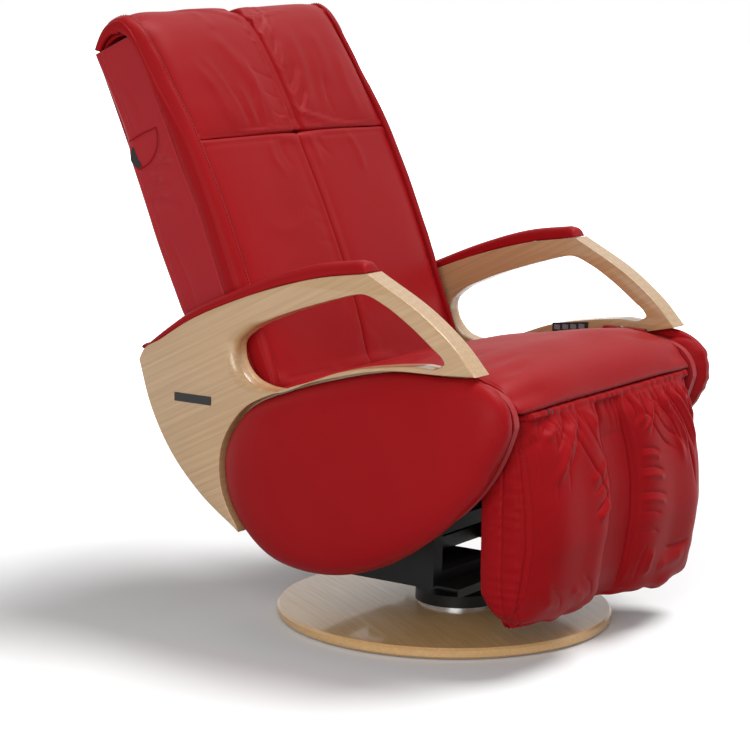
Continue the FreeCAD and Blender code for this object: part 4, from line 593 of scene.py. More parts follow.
SLOT_FINISH = {"wood": ARM_WOOD, "plywood": PLY_WOOD, "red_leather": RED,
               "black_steel": BLACK_STEEL, "bright_steel": BRIGHT_STEEL,
               "black_plastic": BLACK_PLASTIC, "grey_plastic": GREY_PLASTIC, "motor": MOTOR,
               "rubber": RUBBER, "felt": FELT}


# The backrest's own directions: forward out of it, and up along it

BACK_PIVOT = (200.0, 405.0)
BACK_TILT = math.radians(25)


def leaning(x, forward, up):
    """Points of the backrest, from across, forward and up, in the chair's directions."""
    cos, sin = math.cos(BACK_TILT), math.sin(BACK_TILT)
    x, forward, up = np.broadcast_arrays(x, forward, up)
    return np.stack([x, BACK_PIVOT[0] - forward * cos + up * sin,
                     BACK_PIVOT[1] + forward * sin + up * cos], -1)


def loft(stations, middle, edge, count):
    """Closed sections across a cushion. A station is its x, how full it is and how far it is
    drawn in: the section is the edge path turned towards the middle path by the fullness,
    then moved in along its normals."""
    edge = cornered(edge, count, middle)
    middle = cornered(middle, count)
    grid = []
    for x, full, inset in stations:
        path = edge + (middle - edge) * full
        if inset:
            path = path - outward(path) * inset
        grid.append(np.column_stack([np.full(len(path), x), path]))
    return np.array(grid)


def capped(grid):
    """A grid of closed sections as points and faces, both ends shut."""
    rows, cols = grid.shape[:2]
    faces = grid_faces(rows, cols, wrap_cols=True)
    faces.append(list(range(cols))[::-1])
    faces.append([(rows - 1) * cols + k for k in range(cols)])
    return grid.reshape(-1, 3), faces


def spread(half, round_off, count, fine=()):
    """Stations across a cushion, closer at its ends and at the named places. Fullness rises
    from the sides as one minus a power of the share of the half width, to a power; the last
    stations are drawn in to round the edge."""
    x = np.linspace(-half, half, 4001)
    density = 1 + 3.0 * bell(half - np.abs(x), 14)
    for middle, width, more in fine:
        density = density + more * bell(x - middle, width)
    run = np.cumsum(density)
    x = np.interp(np.linspace(run[0], run[-1], count), run, x)
    x[0], x[-1] = -half, half
    t = np.abs(x) / half
    full = (1 - t ** round_off) ** 0.75
    rows = [(a, b, 0.0) for a, b in zip(x, full)]
    tail = [(1.6, 0.5), (2.8, 1.6), (3.4, 3.0)]
    lead = [(-half - a, 0.0, b) for a, b in reversed(tail)]
    trail = [(half + a, 0.0, b) for a, b in tail]
    return lead + rows + trail


def between(count, picked, period=None):
    """How much each picked row gives to every row: linear shares of the two next to it."""
    return np.stack([np.interp(np.arange(count), picked, share, period=period)
                     for share in np.eye(len(picked))], 1)


def cushion(name, grid, body, nodes, held, reach, lifts, turned=None):
    """A padded piece from its grid of sections: filled out as cloth on every second section
    and third point, whose moves are shared out between them in straight lines, then its folds
    raised along its normals."""
    rows, cols = grid.shape[:2]
    points, faces = capped(grid)
    if turned is not None:
        points = turned(points)
    shaped = points.reshape(rows, cols, 3)
    down = np.unique(np.append(np.arange(0, rows, 2), rows - 1))
    over = np.arange(0, cols - 2, 3)
    start, coarse = capped(shaped[down][:, over])
    moved = plumped(start, coarse, held[down][:, over].reshape(-1), reach) - start
    moved = moved.reshape(len(down), len(over), 3)
    moved = np.einsum("ia,abk->ibk", between(rows, down), moved)
    shaped = shaped + np.einsum("ibk,jb->ijk", moved, between(cols, over, cols))
    normal = grid_normals(shaped)
    centre = shaped.reshape(-1, 3).mean(0)
    if ((shaped - centre) * normal).sum() < 0:
        normal = -normal
    shaped = shaped + normal * lifts[..., None]
    obj = piece(name, shaped.reshape(-1, 3), faces, RED, body)
    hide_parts(*nodes)


def shell(outer, inner):
    """A padded sheet as points and faces: an outer and an inner grid of the same size, joined
    round their edges."""
    rows, cols = outer.shape[:2]
    start = rows * cols
    faces = grid_faces(rows, cols)
    faces += [[k + start for k in face[::-1]] for face in grid_faces(rows, cols)]
    loop = ([c for c in range(cols)] + [r * cols + cols - 1 for r in range(1, rows)]
            + [(rows - 1) * cols + c for c in range(cols - 2, -1, -1)]
            + [r * cols for r in range(rows - 2, 0, -1)])
    for a, b in zip(loop, loop[1:] + loop[:1]):
        faces.append([b, a, a + start, b + start])
    return np.concatenate([outer.reshape(-1, 3), inner.reshape(-1, 3)]), faces


# Seat

SEAT_OVER = [(152, 449), (141, 453), (69, 470), (-19, 490), (-105, 507), (-168, 517),
             (-220, 522), (-262, 516), (-297, 503), (-318, 484), (-330, 464), (-333, 454.6)]


def make_seat():
    """The seat cushion: its long top falls to the back and rolls over the front edge."""
    rise = [(y, z + 6 * bell(y + 60, 190)) for y, z in SEAT_OVER]
    lip = [(-333, 454.6), (-322, 454.3), (-256, 454.3)]
    under = [(-256, 454.3), (-251, 443), (-40, 399.5), (156, 361)]
    rear = [(156, 361), (160, 400), (159.5, 436), (152, 449)]
    edge_over = [(152, 443), (141, 447), (69, 463), (-19, 482), (-105, 499), (-168, 508),
                 (-220, 512), (-262, 506), (-294, 493), (-313, 476), (-325, 461),
                 (-328, 454.6)]
    edge = [edge_over, [(-328, 454.6), (-318, 454.3), (-256, 454.3)], under,
            [(156, 361), (160, 400), (158, 432), (152, 443)]]
    grid = loft(spread(CUSHION_HALF, 9.0, 112), [rise, lip, under, rear], edge, 170)
    x, y, z = grid[..., 0], grid[..., 1], grid[..., 2]
    top = z > 455.5
    held = ~top | (y > 120)
    lifts = 1.6 * noise(x / 95, y / 95, 5) * top
    lifts += strokes(x, y, [
        (-1.4, 7, [(-230, 60), (-180, 10), (-150, -60)]),
        (-1.2, 8, [(40, 70), (60, 20), (50, -50)]),
        (1.2, 9, [(170, 40), (200, -20), (240, -90)]),
    ]) * top
    cushion("seat_cover", grid, "chassis", ["seat_cushion"], held,
            CLOTH_REACH, lifts)


make_seat()


# Backrest cushions

def eased(up):
    """The share that the middle creases keep near the cross seam: two fifths at the seam,
    growing to all of it within 25 mm."""
    return 0.4 + 0.6 * np.clip(np.abs(up - 476) / 25, 0, 1)


def make_lower_back():
    """The lower back cushion: two long rolls beside a sewn middle crease, tucked in at the
    cross seam above."""
    front_mid = [(29, 9), (42, 12), (48, 26), (52, 51), (62, 110), (69, 194), (73, 317),
                 (72, 400), (70.5, 440), (69, 463), (66, 472), (61, 475.6)]
    front_edge = [(29, 9), (38, 12), (46, 26), (48, 60), (50, 130), (53, 200), (58, 306),
                  (60, 367), (60, 420), (59, 455), (58, 470), (55, 475.6)]
    top = [(61, 475.6), (44, 475.8), (27, 475.6)]
    rear = [(27, 475.6), (26.4, 250), (27, 9)]
    foot = [(27, 9), (28, 8.6), (29, 9)]
    middle = [front_mid, top, rear, foot]
    edge = [front_edge, [(55, 475.6), (40, 475.8), (27, 475.6)], rear, foot]
    grid = loft(spread(CUSHION_HALF, 11.0, 150, [(0, 16, 3.0)]), middle, edge, 260)
    x, f, w = grid[..., 0], grid[..., 1], grid[..., 2]
    front = f > 33
    crease = bell(x, 24) * 3.5 + bell(x, 7) * 2.5 + np.exp(-np.abs(x) / 1.8) * 3.5
    lifts = -crease * front * np.clip((w - 14) / 30, 0, 1) * eased(w)
    lifts += front * 1.8 * noise(x / 110, w / 130, 11)
    lifts += front * strokes(x, w, [
        (1.8, 10, [(150, 470), (165, 430), (160, 380)]),
        (1.4, 9, [(-90, 472), (-100, 430), (-80, 390)]),
        (-1.2, 8, [(-60, 470), (-66, 440), (-50, 400)]),
        (1.6, 8, [(24, 468), (34, 440), (30, 400)]),
        (-1.4, 7, [(48, 470), (60, 440), (80, 420)]),
        (1.2, 12, [(-200, 300), (-120, 290), (-40, 310)]),
        (-1.0, 7, [(-60, 330), (-36, 322), (-14, 316)]),
        (-1.0, 6, [(-52, 300), (-34, 296), (-12, 290)]),
        (-1.0, 6, [(-58, 262), (-34, 262), (-12, 258)]),
        (-1.1, 7, [(250, 180), (276, 200), (300, 205)]),
        (-1.1, 6, [(250, 150), (280, 160), (302, 170)]),
    ])
    held = ~front | (np.abs(x) > 292) | (np.abs(x) < 5) | (w > 474) | (w < 26)
    cushion("lower_back_cover", grid, "back", ["back_pad"], held,
            CLOTH_REACH, lifts, turned=lambda p: leaning(p[:, 0], p[:, 1], p[:, 2]))


make_lower_back()


def canted(x, up):
    """Heights on the head cushion, which sits a little higher on its left: a share of the way
    across, larger on the high side, fading in above the head's middle."""
    return up + np.where(x > 0, 0.045, 0.02) * x * np.clip((up - 640) / 80, 0, 1)


def make_head():
    """The head cushion: two rolls beside a sunk middle band, which fold over the top of the
    back and end behind it in a thick rolled edge."""
    mid_front = [(61, 476.4), (66, 480.5), (68.5, 490), (70, 510), (68, 560), (61, 633),
                 (52, 680), (41, 712), (27, 734), (10, 747), (-14, 751), (-40, 744),
                 (-62, 729), (-78, 709), (-80, 694), (-74, 688)]
    edge_front = [(55, 476.4), (55.5, 481), (54, 490), (50, 505), (44, 544), (38, 583),
                  (32, 625), (27, 661), (25, 690), (18, 716), (6, 733), (-12, 739),
                  (-34, 735), (-60, 722), (-76, 705), (-79, 693), (-74, 688)]
    hood_mid = [(-74, 688), (-66, 689), (-62, 702), (-38, 712), (-10, 712), (12, 702),
                (22, 684), (26, 655)]
    hood_edge = [(-74, 688), (-66, 689), (-62, 700), (-38, 711), (-12, 709), (6, 700),
                 (16, 682), (19, 655)]
    base = [(27, 476.4), (44, 476.2), (61, 476.4)]
    middle = [mid_front, hood_mid, [(26, 655), (26.4, 560), (27, 476.4)], base]
    edge = [edge_front, hood_edge, [(19, 655), (22, 583), (26, 505), (27, 476.4)],
            [(27, 476.4), (40, 476.2), (55, 476.4)]]
    grid = loft(spread(CUSHION_HALF, 12.0, 176, [(8, 24, 4.0)]), middle, edge, 320)
    x, f, w = grid[..., 0], grid[..., 1], grid[..., 2]
    outer = (f > 30) & (w < 660)
    high = (w >= 655) & ((w > 714) | (f > 24) | (f < -68))
    skin = np.clip(outer + high, 0, 1) * 1.0
    trough = (bell(np.maximum(0, np.abs(x - 8) - 9), 6.0) * 6 + bell(x - 8, 46) * 4
              + np.exp(-np.abs(x + 3) / 1.5) * 4.4 + np.exp(-np.abs(x - 19) / 1.5) * 4.0)
    lifts = -trough * skin * np.where(f < -60, 0.5, 1) * eased(w)
    lifts += skin * 1.6 * noise(x / 90, w / 100 + f / 120, 23)
    lifts += 1.45 * skin * strokes(x, w, [
        (1.3, 9, [(-150, 496), (-154, 540), (-176, 600), (-196, 640)]),
        (-1.3, 6, [(-134, 490), (-140, 530), (-156, 580)]),
        (1.3, 7, [(-118, 494), (-120, 530), (-124, 580)]),
        (-1.2, 5, [(-104, 490), (-102, 530), (-96, 570)]),
        (1.1, 8, [(-86, 496), (-82, 540), (-74, 590), (-84, 640)]),
        (1.1, 10, [(-190, 500), (-198, 560), (-222, 630)]),
        (-0.9, 6, [(-66, 566), (-44, 552), (-12, 542)]),
        (-0.9, 6, [(-78, 610), (-46, 594), (-10, 582)]),
        (-0.9, 5, [(-60, 520), (-40, 512), (-10, 508)]),
        (1.1, 6, [(28, 500), (50, 516), (74, 548)]),
        (-1.5, 5, [(24, 516), (48, 532), (70, 562)]),
        (1.1, 6, [(30, 542), (56, 560), (84, 598)]),
        (-1.5, 5, [(26, 560), (50, 580), (76, 616)]),
        (1.2, 7, [(30, 600), (52, 622), (70, 664)]),
        (-1.6, 5, [(26, 630), (46, 656), (58, 700)]),
        (1.2, 7, [(40, 664), (62, 690), (70, 730)]),
        (-1.5, 5, [(34, 690), (60, 716), (70, 750)]),
        (-1.2, 5, [(60, 690), (84, 716), (92, 746)]),
        (1.0, 12, [(110, 520), (130, 580), (150, 650)]),
        (-0.9, 9, [(140, 500), (134, 540), (150, 590)]),
        (1.0, 14, [(220, 500), (214, 560), (226, 640)]),
        (1.8, 17, [(-60, 500), (-70, 560), (-110, 640), (-150, 700)]),
        (1.6, 18, [(-170, 480), (-176, 540), (-206, 610)]),
        (1.8, 16, [(60, 500), (80, 560), (96, 620), (100, 700)]),
        (1.4, 20, [(150, 560), (170, 620), (170, 690)]),
        (1.2, 14, [(-110, 690), (-124, 720), (-130, 744)]),
    ])
    held = (skin < 0.5) | (np.abs(x) > 292) | (np.abs(x - 8) < 12) | (w < 479)
    cushion("head_cover", grid, "back", ["head_pad"], held, CLOTH_REACH,
            lifts, turned=lambda p: leaning(p[:, 0], p[:, 1], canted(p[:, 0], p[:, 2])))


make_head()


BAND_LINE = [(41, 10, 26, 2), (46, 26, 30, 4), (48, 60, 32, 7), (50, 130, 33, 9),
             (53, 200, 33, 10), (58, 306, 33, 9), (60, 367, 33, 8), (59, 420, 34, 8),
             (57, 476, 33, 8), (50, 520, 26, 11), (38, 583, 16, 13), (32, 625, 10, 14),
             (27, 661, 7, 13), (24, 690, 11, 11), (17, 716, 20, 8), (5, 734, 24, 6),
             (-12, 739, 25, 5.5), (-34, 736, 19, 5), (-56, 724, 15, 4), (-71, 709, 12, 2)]


def clear_of_boards(up):
    """How far a piece of the backrest may have its full width, from none to one: its lower end
    swings down between the side boards, so it is slim up to 160 and full from 215 upwards."""
    t = np.clip((up - 160) / 55, 0, 1)
    return t * t * (3 - 2 * t)


def make_back_bands():
    """The leather border bands of the backrest's front: a section across the corner, from the
    sewn edge on the face, over a felled seam, to the side, carried up the edge and over the
    hood. The depth down the side and the height of the face change along the way."""
    path = through(BAND_LINE, 320)
    ahead = np.gradient(path[:, :2], axis=0)
    ahead /= np.linalg.norm(ahead, axis=1)[:, None]
    away = np.stack([ahead[:, 1], -ahead[:, 0]], 1)
    deep, rise = path[:, 2], path[:, 3]
    low = -np.minimum(6, 0.5 * deep)
    slim = 0.50 + 0.50 * clear_of_boards(path[:, 1])
    wave = 0.5 * noise(np.arange(320) / 14, 0 * deep, 19, 6)
    section = [(289.4, rise - 3), (290.0, rise + 0.4), (291.6, rise + 1.4),
               (294.0, rise + 1.7 + wave), (298.0, rise * 0.96 + 1.8 + wave),
               (302.5, rise * 0.80 + 1.7 + wave), (307.0, rise * 0.52 + 1.4),
               (311.0, rise * 0.22 + 1.0), (313.2, 0.3), (314.0, -1.2), (314.8, -1.9),
               (315.8, -1.0 - 0.05 * deep), (317.0, -0.18 * deep), (317.9, -0.38 * deep),
               (317.9 + 0.6 * wave, -0.60 * deep), (317.2, -0.80 * deep),
               (315.6, -0.93 * deep), (313.0, -deep), (306.0, -deep), (300.0, low),
               (291.0, low)]
    for side, word in SIDES:
        def placed(x, up):
            x = 289.4 + (x - 289.4) * slim
            return leaning(side * x, path[:, 0] + away[:, 0] * up,
                           canted(side * x, path[:, 1] + away[:, 1] * up))
        grid = np.array([placed(x + 0 * deep, up) for x, up in section])
        points, faces = capped(grid.transpose(1, 0, 2))
        obj = piece("back_band_" + word, points, faces, RED, "back")
        keep = slice(8, 312)
        row = placed(295.6 + 0 * deep, rise + 2.0 + wave)[keep]
        lift = leaning(0 * deep, away[:, 0], away[:, 1])[keep] - leaning(0, 0, 0)
        stitched("back_stitches_" + word, row, lift, THREAD, "back")


make_back_bands()


POCKET_LINES = ([(525, -66), (526.5, -28), (525, 2)],
                [(525, 2), (507, -1), (489, -13), (475, -35), (471, -62)])
POCKET_MOUTH = [(513, -62), (490, -59), (474, -58), (473, -64), (481, -71), (493, -75),
                (504, -70)]


def make_pocket():
    """The pocket in the right side panel: a piped flap edge, and at its rear between two
    leather lips a near-black plug as painted shade, standing in for the shadow in the mouth."""
    parts = []
    for line, out in ((POCKET_LINES[0], 318.0), (POCKET_LINES[1], 318.0),
                      (POCKET_MOUTH[2:6], 317.4)):
        path = through(line, 40)
        near_rim = np.clip((path[:, 1] + 76) / 12, 0, 1)
        place = leaning(-out + 3.0 * (1 - near_rim), path[:, 1], path[:, 0])
        parts.append(tube(place, 1.2, 8))
    points, faces = joined(parts)
    piece("pocket_piping", points, faces, RED, "back")
    # Painted shade: the mouth is a near-black plug where the pocket's opening lies in shadow.
    mouth = through([(f, w) for w, f in POCKET_MOUTH], 48, closed=True)
    inner = mouth.mean(0) + (mouth - mouth.mean(0)) * 0.9
    rings = [leaning(x + 0 * line[:, 0], line[:, 0], line[:, 1])
             for x, line in ((-311.0, mouth), (-317.4, mouth), (-317.8, inner))]
    points, faces = capped(np.array(rings))
    piece("pocket_mouth", points, faces, POCKET_SHADE_PLUG, "back")


SIDE_INNER, SIDE_SLIM, SIDE_FULL = 287.8, 303.1, 311.0      # faces of the side panels, across


def make_back_sides():
    """The soft side panels: a shallow crowned cushion over the side board, with a border band
    in front, piping at its rear and, on the right, a half-round pocket flap."""
    for side, word in SIDES:
        w = np.concatenate([[30.5, 32], np.linspace(36, 690, 160), [694, 696]])
        f = np.concatenate([[-73.5, -73, -71], np.linspace(-67, 30, 46), [33, 34.5, 35]])
        ww, ff = np.meshgrid(w, f, indexing="ij")
        front_edge = smooth([(30, 16), (60, 18), (200, 22), (306, 26), (367, 28), (430, 26),
                             (476, 25), (520, 25), (583, 23), (625, 22), (661, 20), (690, 12),
                             (700, 8)], ww.ravel())[:, 0].reshape(ww.shape)
        rear_edge = smooth([(30, -80), (194, -82), (333, -83), (408, -81), (460, -79),
                            (495, -77), (515, -72), (533, -68), (554, -67), (625, -70),
                            (696, -74)], ww.ravel())[:, 0].reshape(ww.shape)
        share = (ff + 73.5) / (35 + 73.5)
        forward = rear_edge + (front_edge - rear_edge) * share
        rim = np.minimum(np.minimum(share, 1 - share) * 100 / 9,
                         np.minimum(ww - 30.5, 696 - ww) / 9)
        round_off = np.sqrt(1 - (1 - np.clip(rim, 0, 1)) ** 2)
        puff = 1.4 + 4.2 * round_off + 1.6 * noise(ww / 90, forward / 60, 31 + side)
        marks = [
            (1.6, 5, [(476, -14), (474, 0), (478, 12)]),
            (-3.0, 5, [(462, -34), (464, -12), (460, 10)]),
            (1.8, 6, [(452, -44), (454, -20), (448, 6)]),
            (-3.0, 5, [(440, -72), (442, -48), (438, -22)]),
            (1.6, 7, [(428, -66), (428, -40), (420, -10)]),
            (-1.8, 5, [(414, -70), (414, -48), (404, -20)]),
            (1.2, 9, [(396, -60), (392, -30), (376, 0)]),
            (-1.2, 9, [(330, -50), (260, -44), (180, -50)]),
            (1.0, 10, [(620, -40), (560, -34), (540, -40)]),
        ]
        puff = puff + 1.4 * strokes(ww, forward, marks)
        piping = bell(forward - rear_edge - 11, 1.8) * -2.6 + bell(
            forward - rear_edge - 6, 2.6) * 1.2
        puff = puff + piping * round_off
        if side < 0:
            flap = strokes(ww, forward, [(1.0, 2.0, line) for line in POCKET_LINES])
            puff = puff - 1.6 * flap
        wide = clear_of_boards(ww)
        x = side * ((SIDE_SLIM + 0.2 * puff) * (1 - wide) + (SIDE_FULL + puff) * wide)
        outer = leaning(x, forward, ww)
        inner = leaning(side * SIDE_INNER + 0 * ww, np.clip(forward, -67, 24), ww)
        points, faces = shell(outer, inner)
        # Painted light: the side panel takes the leather copy painted lighter.
        obj = piece("back_side_cover_" + word, points, faces, RED_SIDE_PAINTED_LIGHT, "back")
        softened(obj)
        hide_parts("back_side_" + word)


make_back_sides()
make_pocket()


REAR_FACE = -68.4      # the back of the cushions' frame, forward of the pivot


def make_back_cover():
    """The leather over the back of the backrest: a thin padded sheet, flat in its middle, with
    rolled edges whose height is a quarter circle, and two stitched grooves."""
    x = np.concatenate([[-308, -307], np.linspace(-302, 302, 90), [307, 308]])
    w = np.concatenate([[30.5, 31.5], np.linspace(36, 680, 110), [684, 685.5]])
    ww, xx = np.meshgrid(w, x, indexing="ij")
    rim = np.minimum((308 - np.abs(xx)), np.minimum(ww - 30.5, 685.5 - ww)) / 11
    round_off = np.sqrt(1 - (1 - np.clip(rim, 0, 1)) ** 2)
    proud = 6.0 + 8.0 * round_off + 1.2 * noise(xx / 120, ww / 120, 41)
    proud = proud - 2.4 * bell(np.abs(xx) - 270, 2.2) * round_off
    proud = proud - 2.0 * bell(ww - 470, 2.2) * round_off * (np.abs(xx) < 270)
    xx = xx * (304.0 + 4.0 * clear_of_boards(ww)) / 308
    outer = leaning(xx, REAR_FACE - proud, ww)
    inner = leaning(xx * 0.999, REAR_FACE + 0 * ww, ww)
    points, faces = shell(outer, inner)
    obj = piece("rear_cover", points, faces, RED, "back")
    softened(obj)
    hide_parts("back_cover")


make_back_cover()


# Arms

ARM_INNER, ARM_STEP, ARM_OUTER = 325.0, 345.0, 370.0


def arm_point(share):
    return (-283.0 + 698.0 * share[0], 191.0 + 480.0 * share[1])


POD_SHARES = [(0.239, 1.000), (0.125, 1.000), (0.058, 0.965), (0.015, 0.901), (0.000, 0.813),
              (0.061, 0.584), (0.227, 0.301), (0.427, 0.104), (0.637, 0.008), (0.846, 0.064),
              (0.988, 0.317), (0.997, 0.528), (0.920, 0.725), (0.778, 0.837), (0.609, 0.923),
              (0.428, 0.987)]
POD_MIDDLE = (0.505, 0.539)


def pod_point(share, grow=1.0):
    a = POD_MIDDLE[0] + (share[0] - POD_MIDDLE[0]) * grow
    b = POD_MIDDLE[1] + (share[1] - POD_MIDDLE[1]) * grow
    y = -356.0 + 586.0 * a
    drawn = min(1.0, max(0.0, (-240.0 - y) / 100))
    return (y + 13.0 * drawn * drawn * (3 - 2 * drawn), 138.0 + 375.0 * b)


def arm_runs(grow):
    """The arm's outline as smooth runs between its corners."""
    front = [arm_point(p) for p in ((0.000, 0.683), (0.060, 0.775), (0.140, 0.865),
                                    (0.305, 0.996))]
    top = [arm_point(p) for p in ((0.305, 0.996), (0.445, 0.964), (0.586, 0.908),
                                  (0.720, 0.838), (0.845, 0.756), (0.931, 0.679),
                                  (0.987, 0.629), (1.000, 0.594))]
    rear = [arm_point(p) for p in ((1.000, 0.594), (0.962, 0.428), (0.897, 0.267),
                                   (0.805, 0.130), (0.681, 0.008))]
    wing = [arm_point((0.681, 0.008)), pod_point((0.942, 0.192), grow)]
    join = [pod_point(p, grow) for p in ((0.942, 0.192), (0.968, 0.252), *POD_SHARES[10:],
                                         POD_SHARES[0])]
    lower = [pod_point(POD_SHARES[0], grow), arm_point((0.000, 0.683))]
    return [front, top, rear, wing, join, lower]


OPENING = [arm_point(p) for p in (
    (0.319, 0.923), (0.255, 0.893), (0.198, 0.846), (0.120, 0.765), (0.092, 0.733),
    (0.085, 0.717), (0.095, 0.704), (0.170, 0.694), (0.262, 0.677), (0.380, 0.642),
    (0.466, 0.596), (0.574, 0.542), (0.625, 0.547), (0.660, 0.567), (0.699, 0.644),
    (0.699, 0.692), (0.668, 0.738), (0.590, 0.797), (0.491, 0.852), (0.400, 0.894),
    (0.350, 0.915))]


def walled(loop, hole, x_inner, x_outer, inner_edge, outer_edge, side):
    """A board with rounded edges: at each point of a loop the wall goes from the inner face to
    the outer one in a profile of two quarter circles, each as wide as its edge there, and the
    faces fill what is left between the loops."""
    parts, rims = [], []
    for line, inward, edges_in, edges_out in ((loop, 1, inner_edge[0], outer_edge[0]),
                                              (hole, -1, inner_edge[1], outer_edge[1])):
        if line is None:
            continue
        normal = outward(line) * inward
        rows = []
        turn = np.linspace(0, np.pi / 2, 5)
        deep = np.minimum(edges_out, (x_outer - x_inner) * 0.6)
        for t in turn:
            rows.append((x_inner + edges_in * (1 - np.sin(t)), -edges_in * (1 - np.cos(t))))
        low = [(x_inner + edges_in * (1 - np.cos(t)), -edges_in * (1 - np.sin(t)))
               for t in turn]
        high = [(x_outer - deep * (1 - np.sin(t)), -edges_out * (1 - np.cos(t)))
                for t in turn]
        grid = []
        for x, out in low + high:
            x = np.broadcast_to(x, len(line))
            out = np.broadcast_to(out, len(line))
            place = line + normal * out[:, None]
            grid.append(np.column_stack([x * side, place]))
        grid = np.array(grid)
        parts.append((grid.reshape(-1, 3), grid_faces(*grid.shape[:2], wrap_cols=True),
                      inward))
        rims.append((grid[0], grid[-1]))
    points, faces, start, starts = [], [], 0, []
    for p, f, way in parts:
        points.append(p)
        faces += [[k + start for k in (face if way > 0 else face[::-1])] for face in f]
        starts.append(start)
        start += len(p)
    for end in (0, 1):
        rings = [rim[end] for rim in rims]
        numbers = []
        for s0, (p, f, way), rim in zip(starts, parts, rims):
            count = len(rim[end])
            first = s0 if end == 0 else s0 + len(p) - count
            numbers += list(range(first, first + count))
        filled = tessellate_polygon([[Vector((0, r[1], r[2])) for r in ring] for ring in rings])
        ringed = np.vstack(rings)
        for a, b, c in filled:
            pa, pb, pc = ringed[a], ringed[b], ringed[c]
            cross = (pb[1] - pa[1]) * (pc[2] - pa[2]) - (pb[2] - pa[2]) * (pc[1] - pa[1])
            want = side * (1 if end == 1 else -1)
            face = [numbers[a], numbers[b], numbers[c]]
            faces.append(face if cross * want > 0 else face[::-1])
    return np.vstack(points), faces


def wall_way(loop, side):
    """Whether the wall faces built along this loop point outwards as they are."""
    after = np.roll(loop, -1, 0)
    area = (loop[:, 0] * after[:, 1] - after[:, 0] * loop[:, 1]).sum()
    return area * side > 0


def make_arms():
    hole = through(OPENING, 220, closed=True)
    for side, word in SIDES:
        made = []
        for grow, low, high in ((0.935, ARM_INNER, ARM_STEP - 0.02),
                                (1.012, ARM_STEP, ARM_OUTER)):
            loop = cornered(arm_runs(grow), 420)
            y, z = loop[:, 0], loop[:, 1]
            ring = hole if wall_way(loop, side) == wall_way(hole, side) else hole[::-1]
            hy = ring[:, 0]
            if high == ARM_OUTER:
                front = np.clip(1 - np.maximum(0, y + 205) / 40, 0, 1) * (z > 520)
                out = 1.8 + 1.8 * front
                scoop = bell(hy - 208, 52) * 22 * np.clip((hy - 80) / 40, 0, 1)
                outer = (out, 1.8 + scoop)
                inner = (0.4, 0.4)
            else:
                inner = (1.6, 2.2 + bell(hy - 205, 40) * 6)
                outer = (0.2, 0.2)
            made.append(walled(loop, ring, low, high, inner, outer, side))
        points, faces = joined(made)
        obj = piece("bent_arm_" + word, points, faces, ARM_WOOD, "chassis", sharp=32,
                    closed=False)
        repaired(obj)
        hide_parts("arm_" + word)


def repaired(obj):
    """Faces of a closed piece turned outwards."""
    work = bmesh.new()
    work.from_mesh(obj.data)
    bmesh.ops.recalc_face_normals(work, faces=work.faces)
    work.to_mesh(obj.data)
    work.free()
    obj.data.set_sharp_from_angle(angle=math.radians(32))


make_arms()


def make_arm_pads():
    """The padded rests: the arm's top line, thickened upwards to a pointed nose at the front
    and a thin tail at the back, crowned across."""
    under = [arm_point(p) for p in ((0.311, 0.996), (0.445, 0.965), (0.586, 0.909),
                                    (0.720, 0.839), (0.845, 0.757), (0.931, 0.680),
                                    (0.981, 0.634))]
    over = [arm_point(p) for p in ((0.979, 0.650), (0.928, 0.706), (0.845, 0.787),
                                   (0.720, 0.872), (0.592, 0.946), (0.460, 1.004),
                                   (0.341, 1.030))]
    nose = [arm_point((0.341, 1.030)), arm_point((0.320, 1.022)), arm_point((0.311, 0.996))]
    for side, word in SIDES:
        path = cornered([under, [under[-1], (409.5, 501.5), over[0]], over, nose], 300)
        path[:, 1] += 0.3
        low, high = ARM_INNER + 2.5, ARM_OUTER - 2.0
        middle, half = (low + high) / 2, (high - low) / 2
        base = np.interp(path[:, 0], [p[0] for p in under], [p[1] for p in under]) + 0.3
        tall = np.maximum(0, path[:, 1] - base)
        grid = []
        for t in np.concatenate([[-1.0], -np.cos(np.linspace(0.12, np.pi - 0.12, 27)), [1.0]]):
            full = (1 - abs(t) ** 3.2) ** 0.55 if abs(t) < 1 else 0.0
            keep = 0.30 + 0.70 * full
            z = base + tall * keep + 2.2 * full * (tall > 4)
            grid.append(np.column_stack([np.full(len(path), side * (middle + half * t)),
                                         path[:, 0], z]))
        points, faces = capped(np.array(grid))
        obj = piece("arm_rest_" + word, points, faces, RED, "chassis")
        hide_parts("arm_pad_" + word)


make_arm_pads()


# Pods

POD_CROWN = [(0.00, 0.972), (0.05, 0.988), (0.15, 0.998), (0.30, 0.992), (0.48, 0.968),
             (0.64, 0.926), (0.77, 0.868), (0.87, 0.785), (0.93, 0.690), (0.965, 0.560),
             (0.985, 0.400), (0.997, 0.200), (1.00, 0.040)]


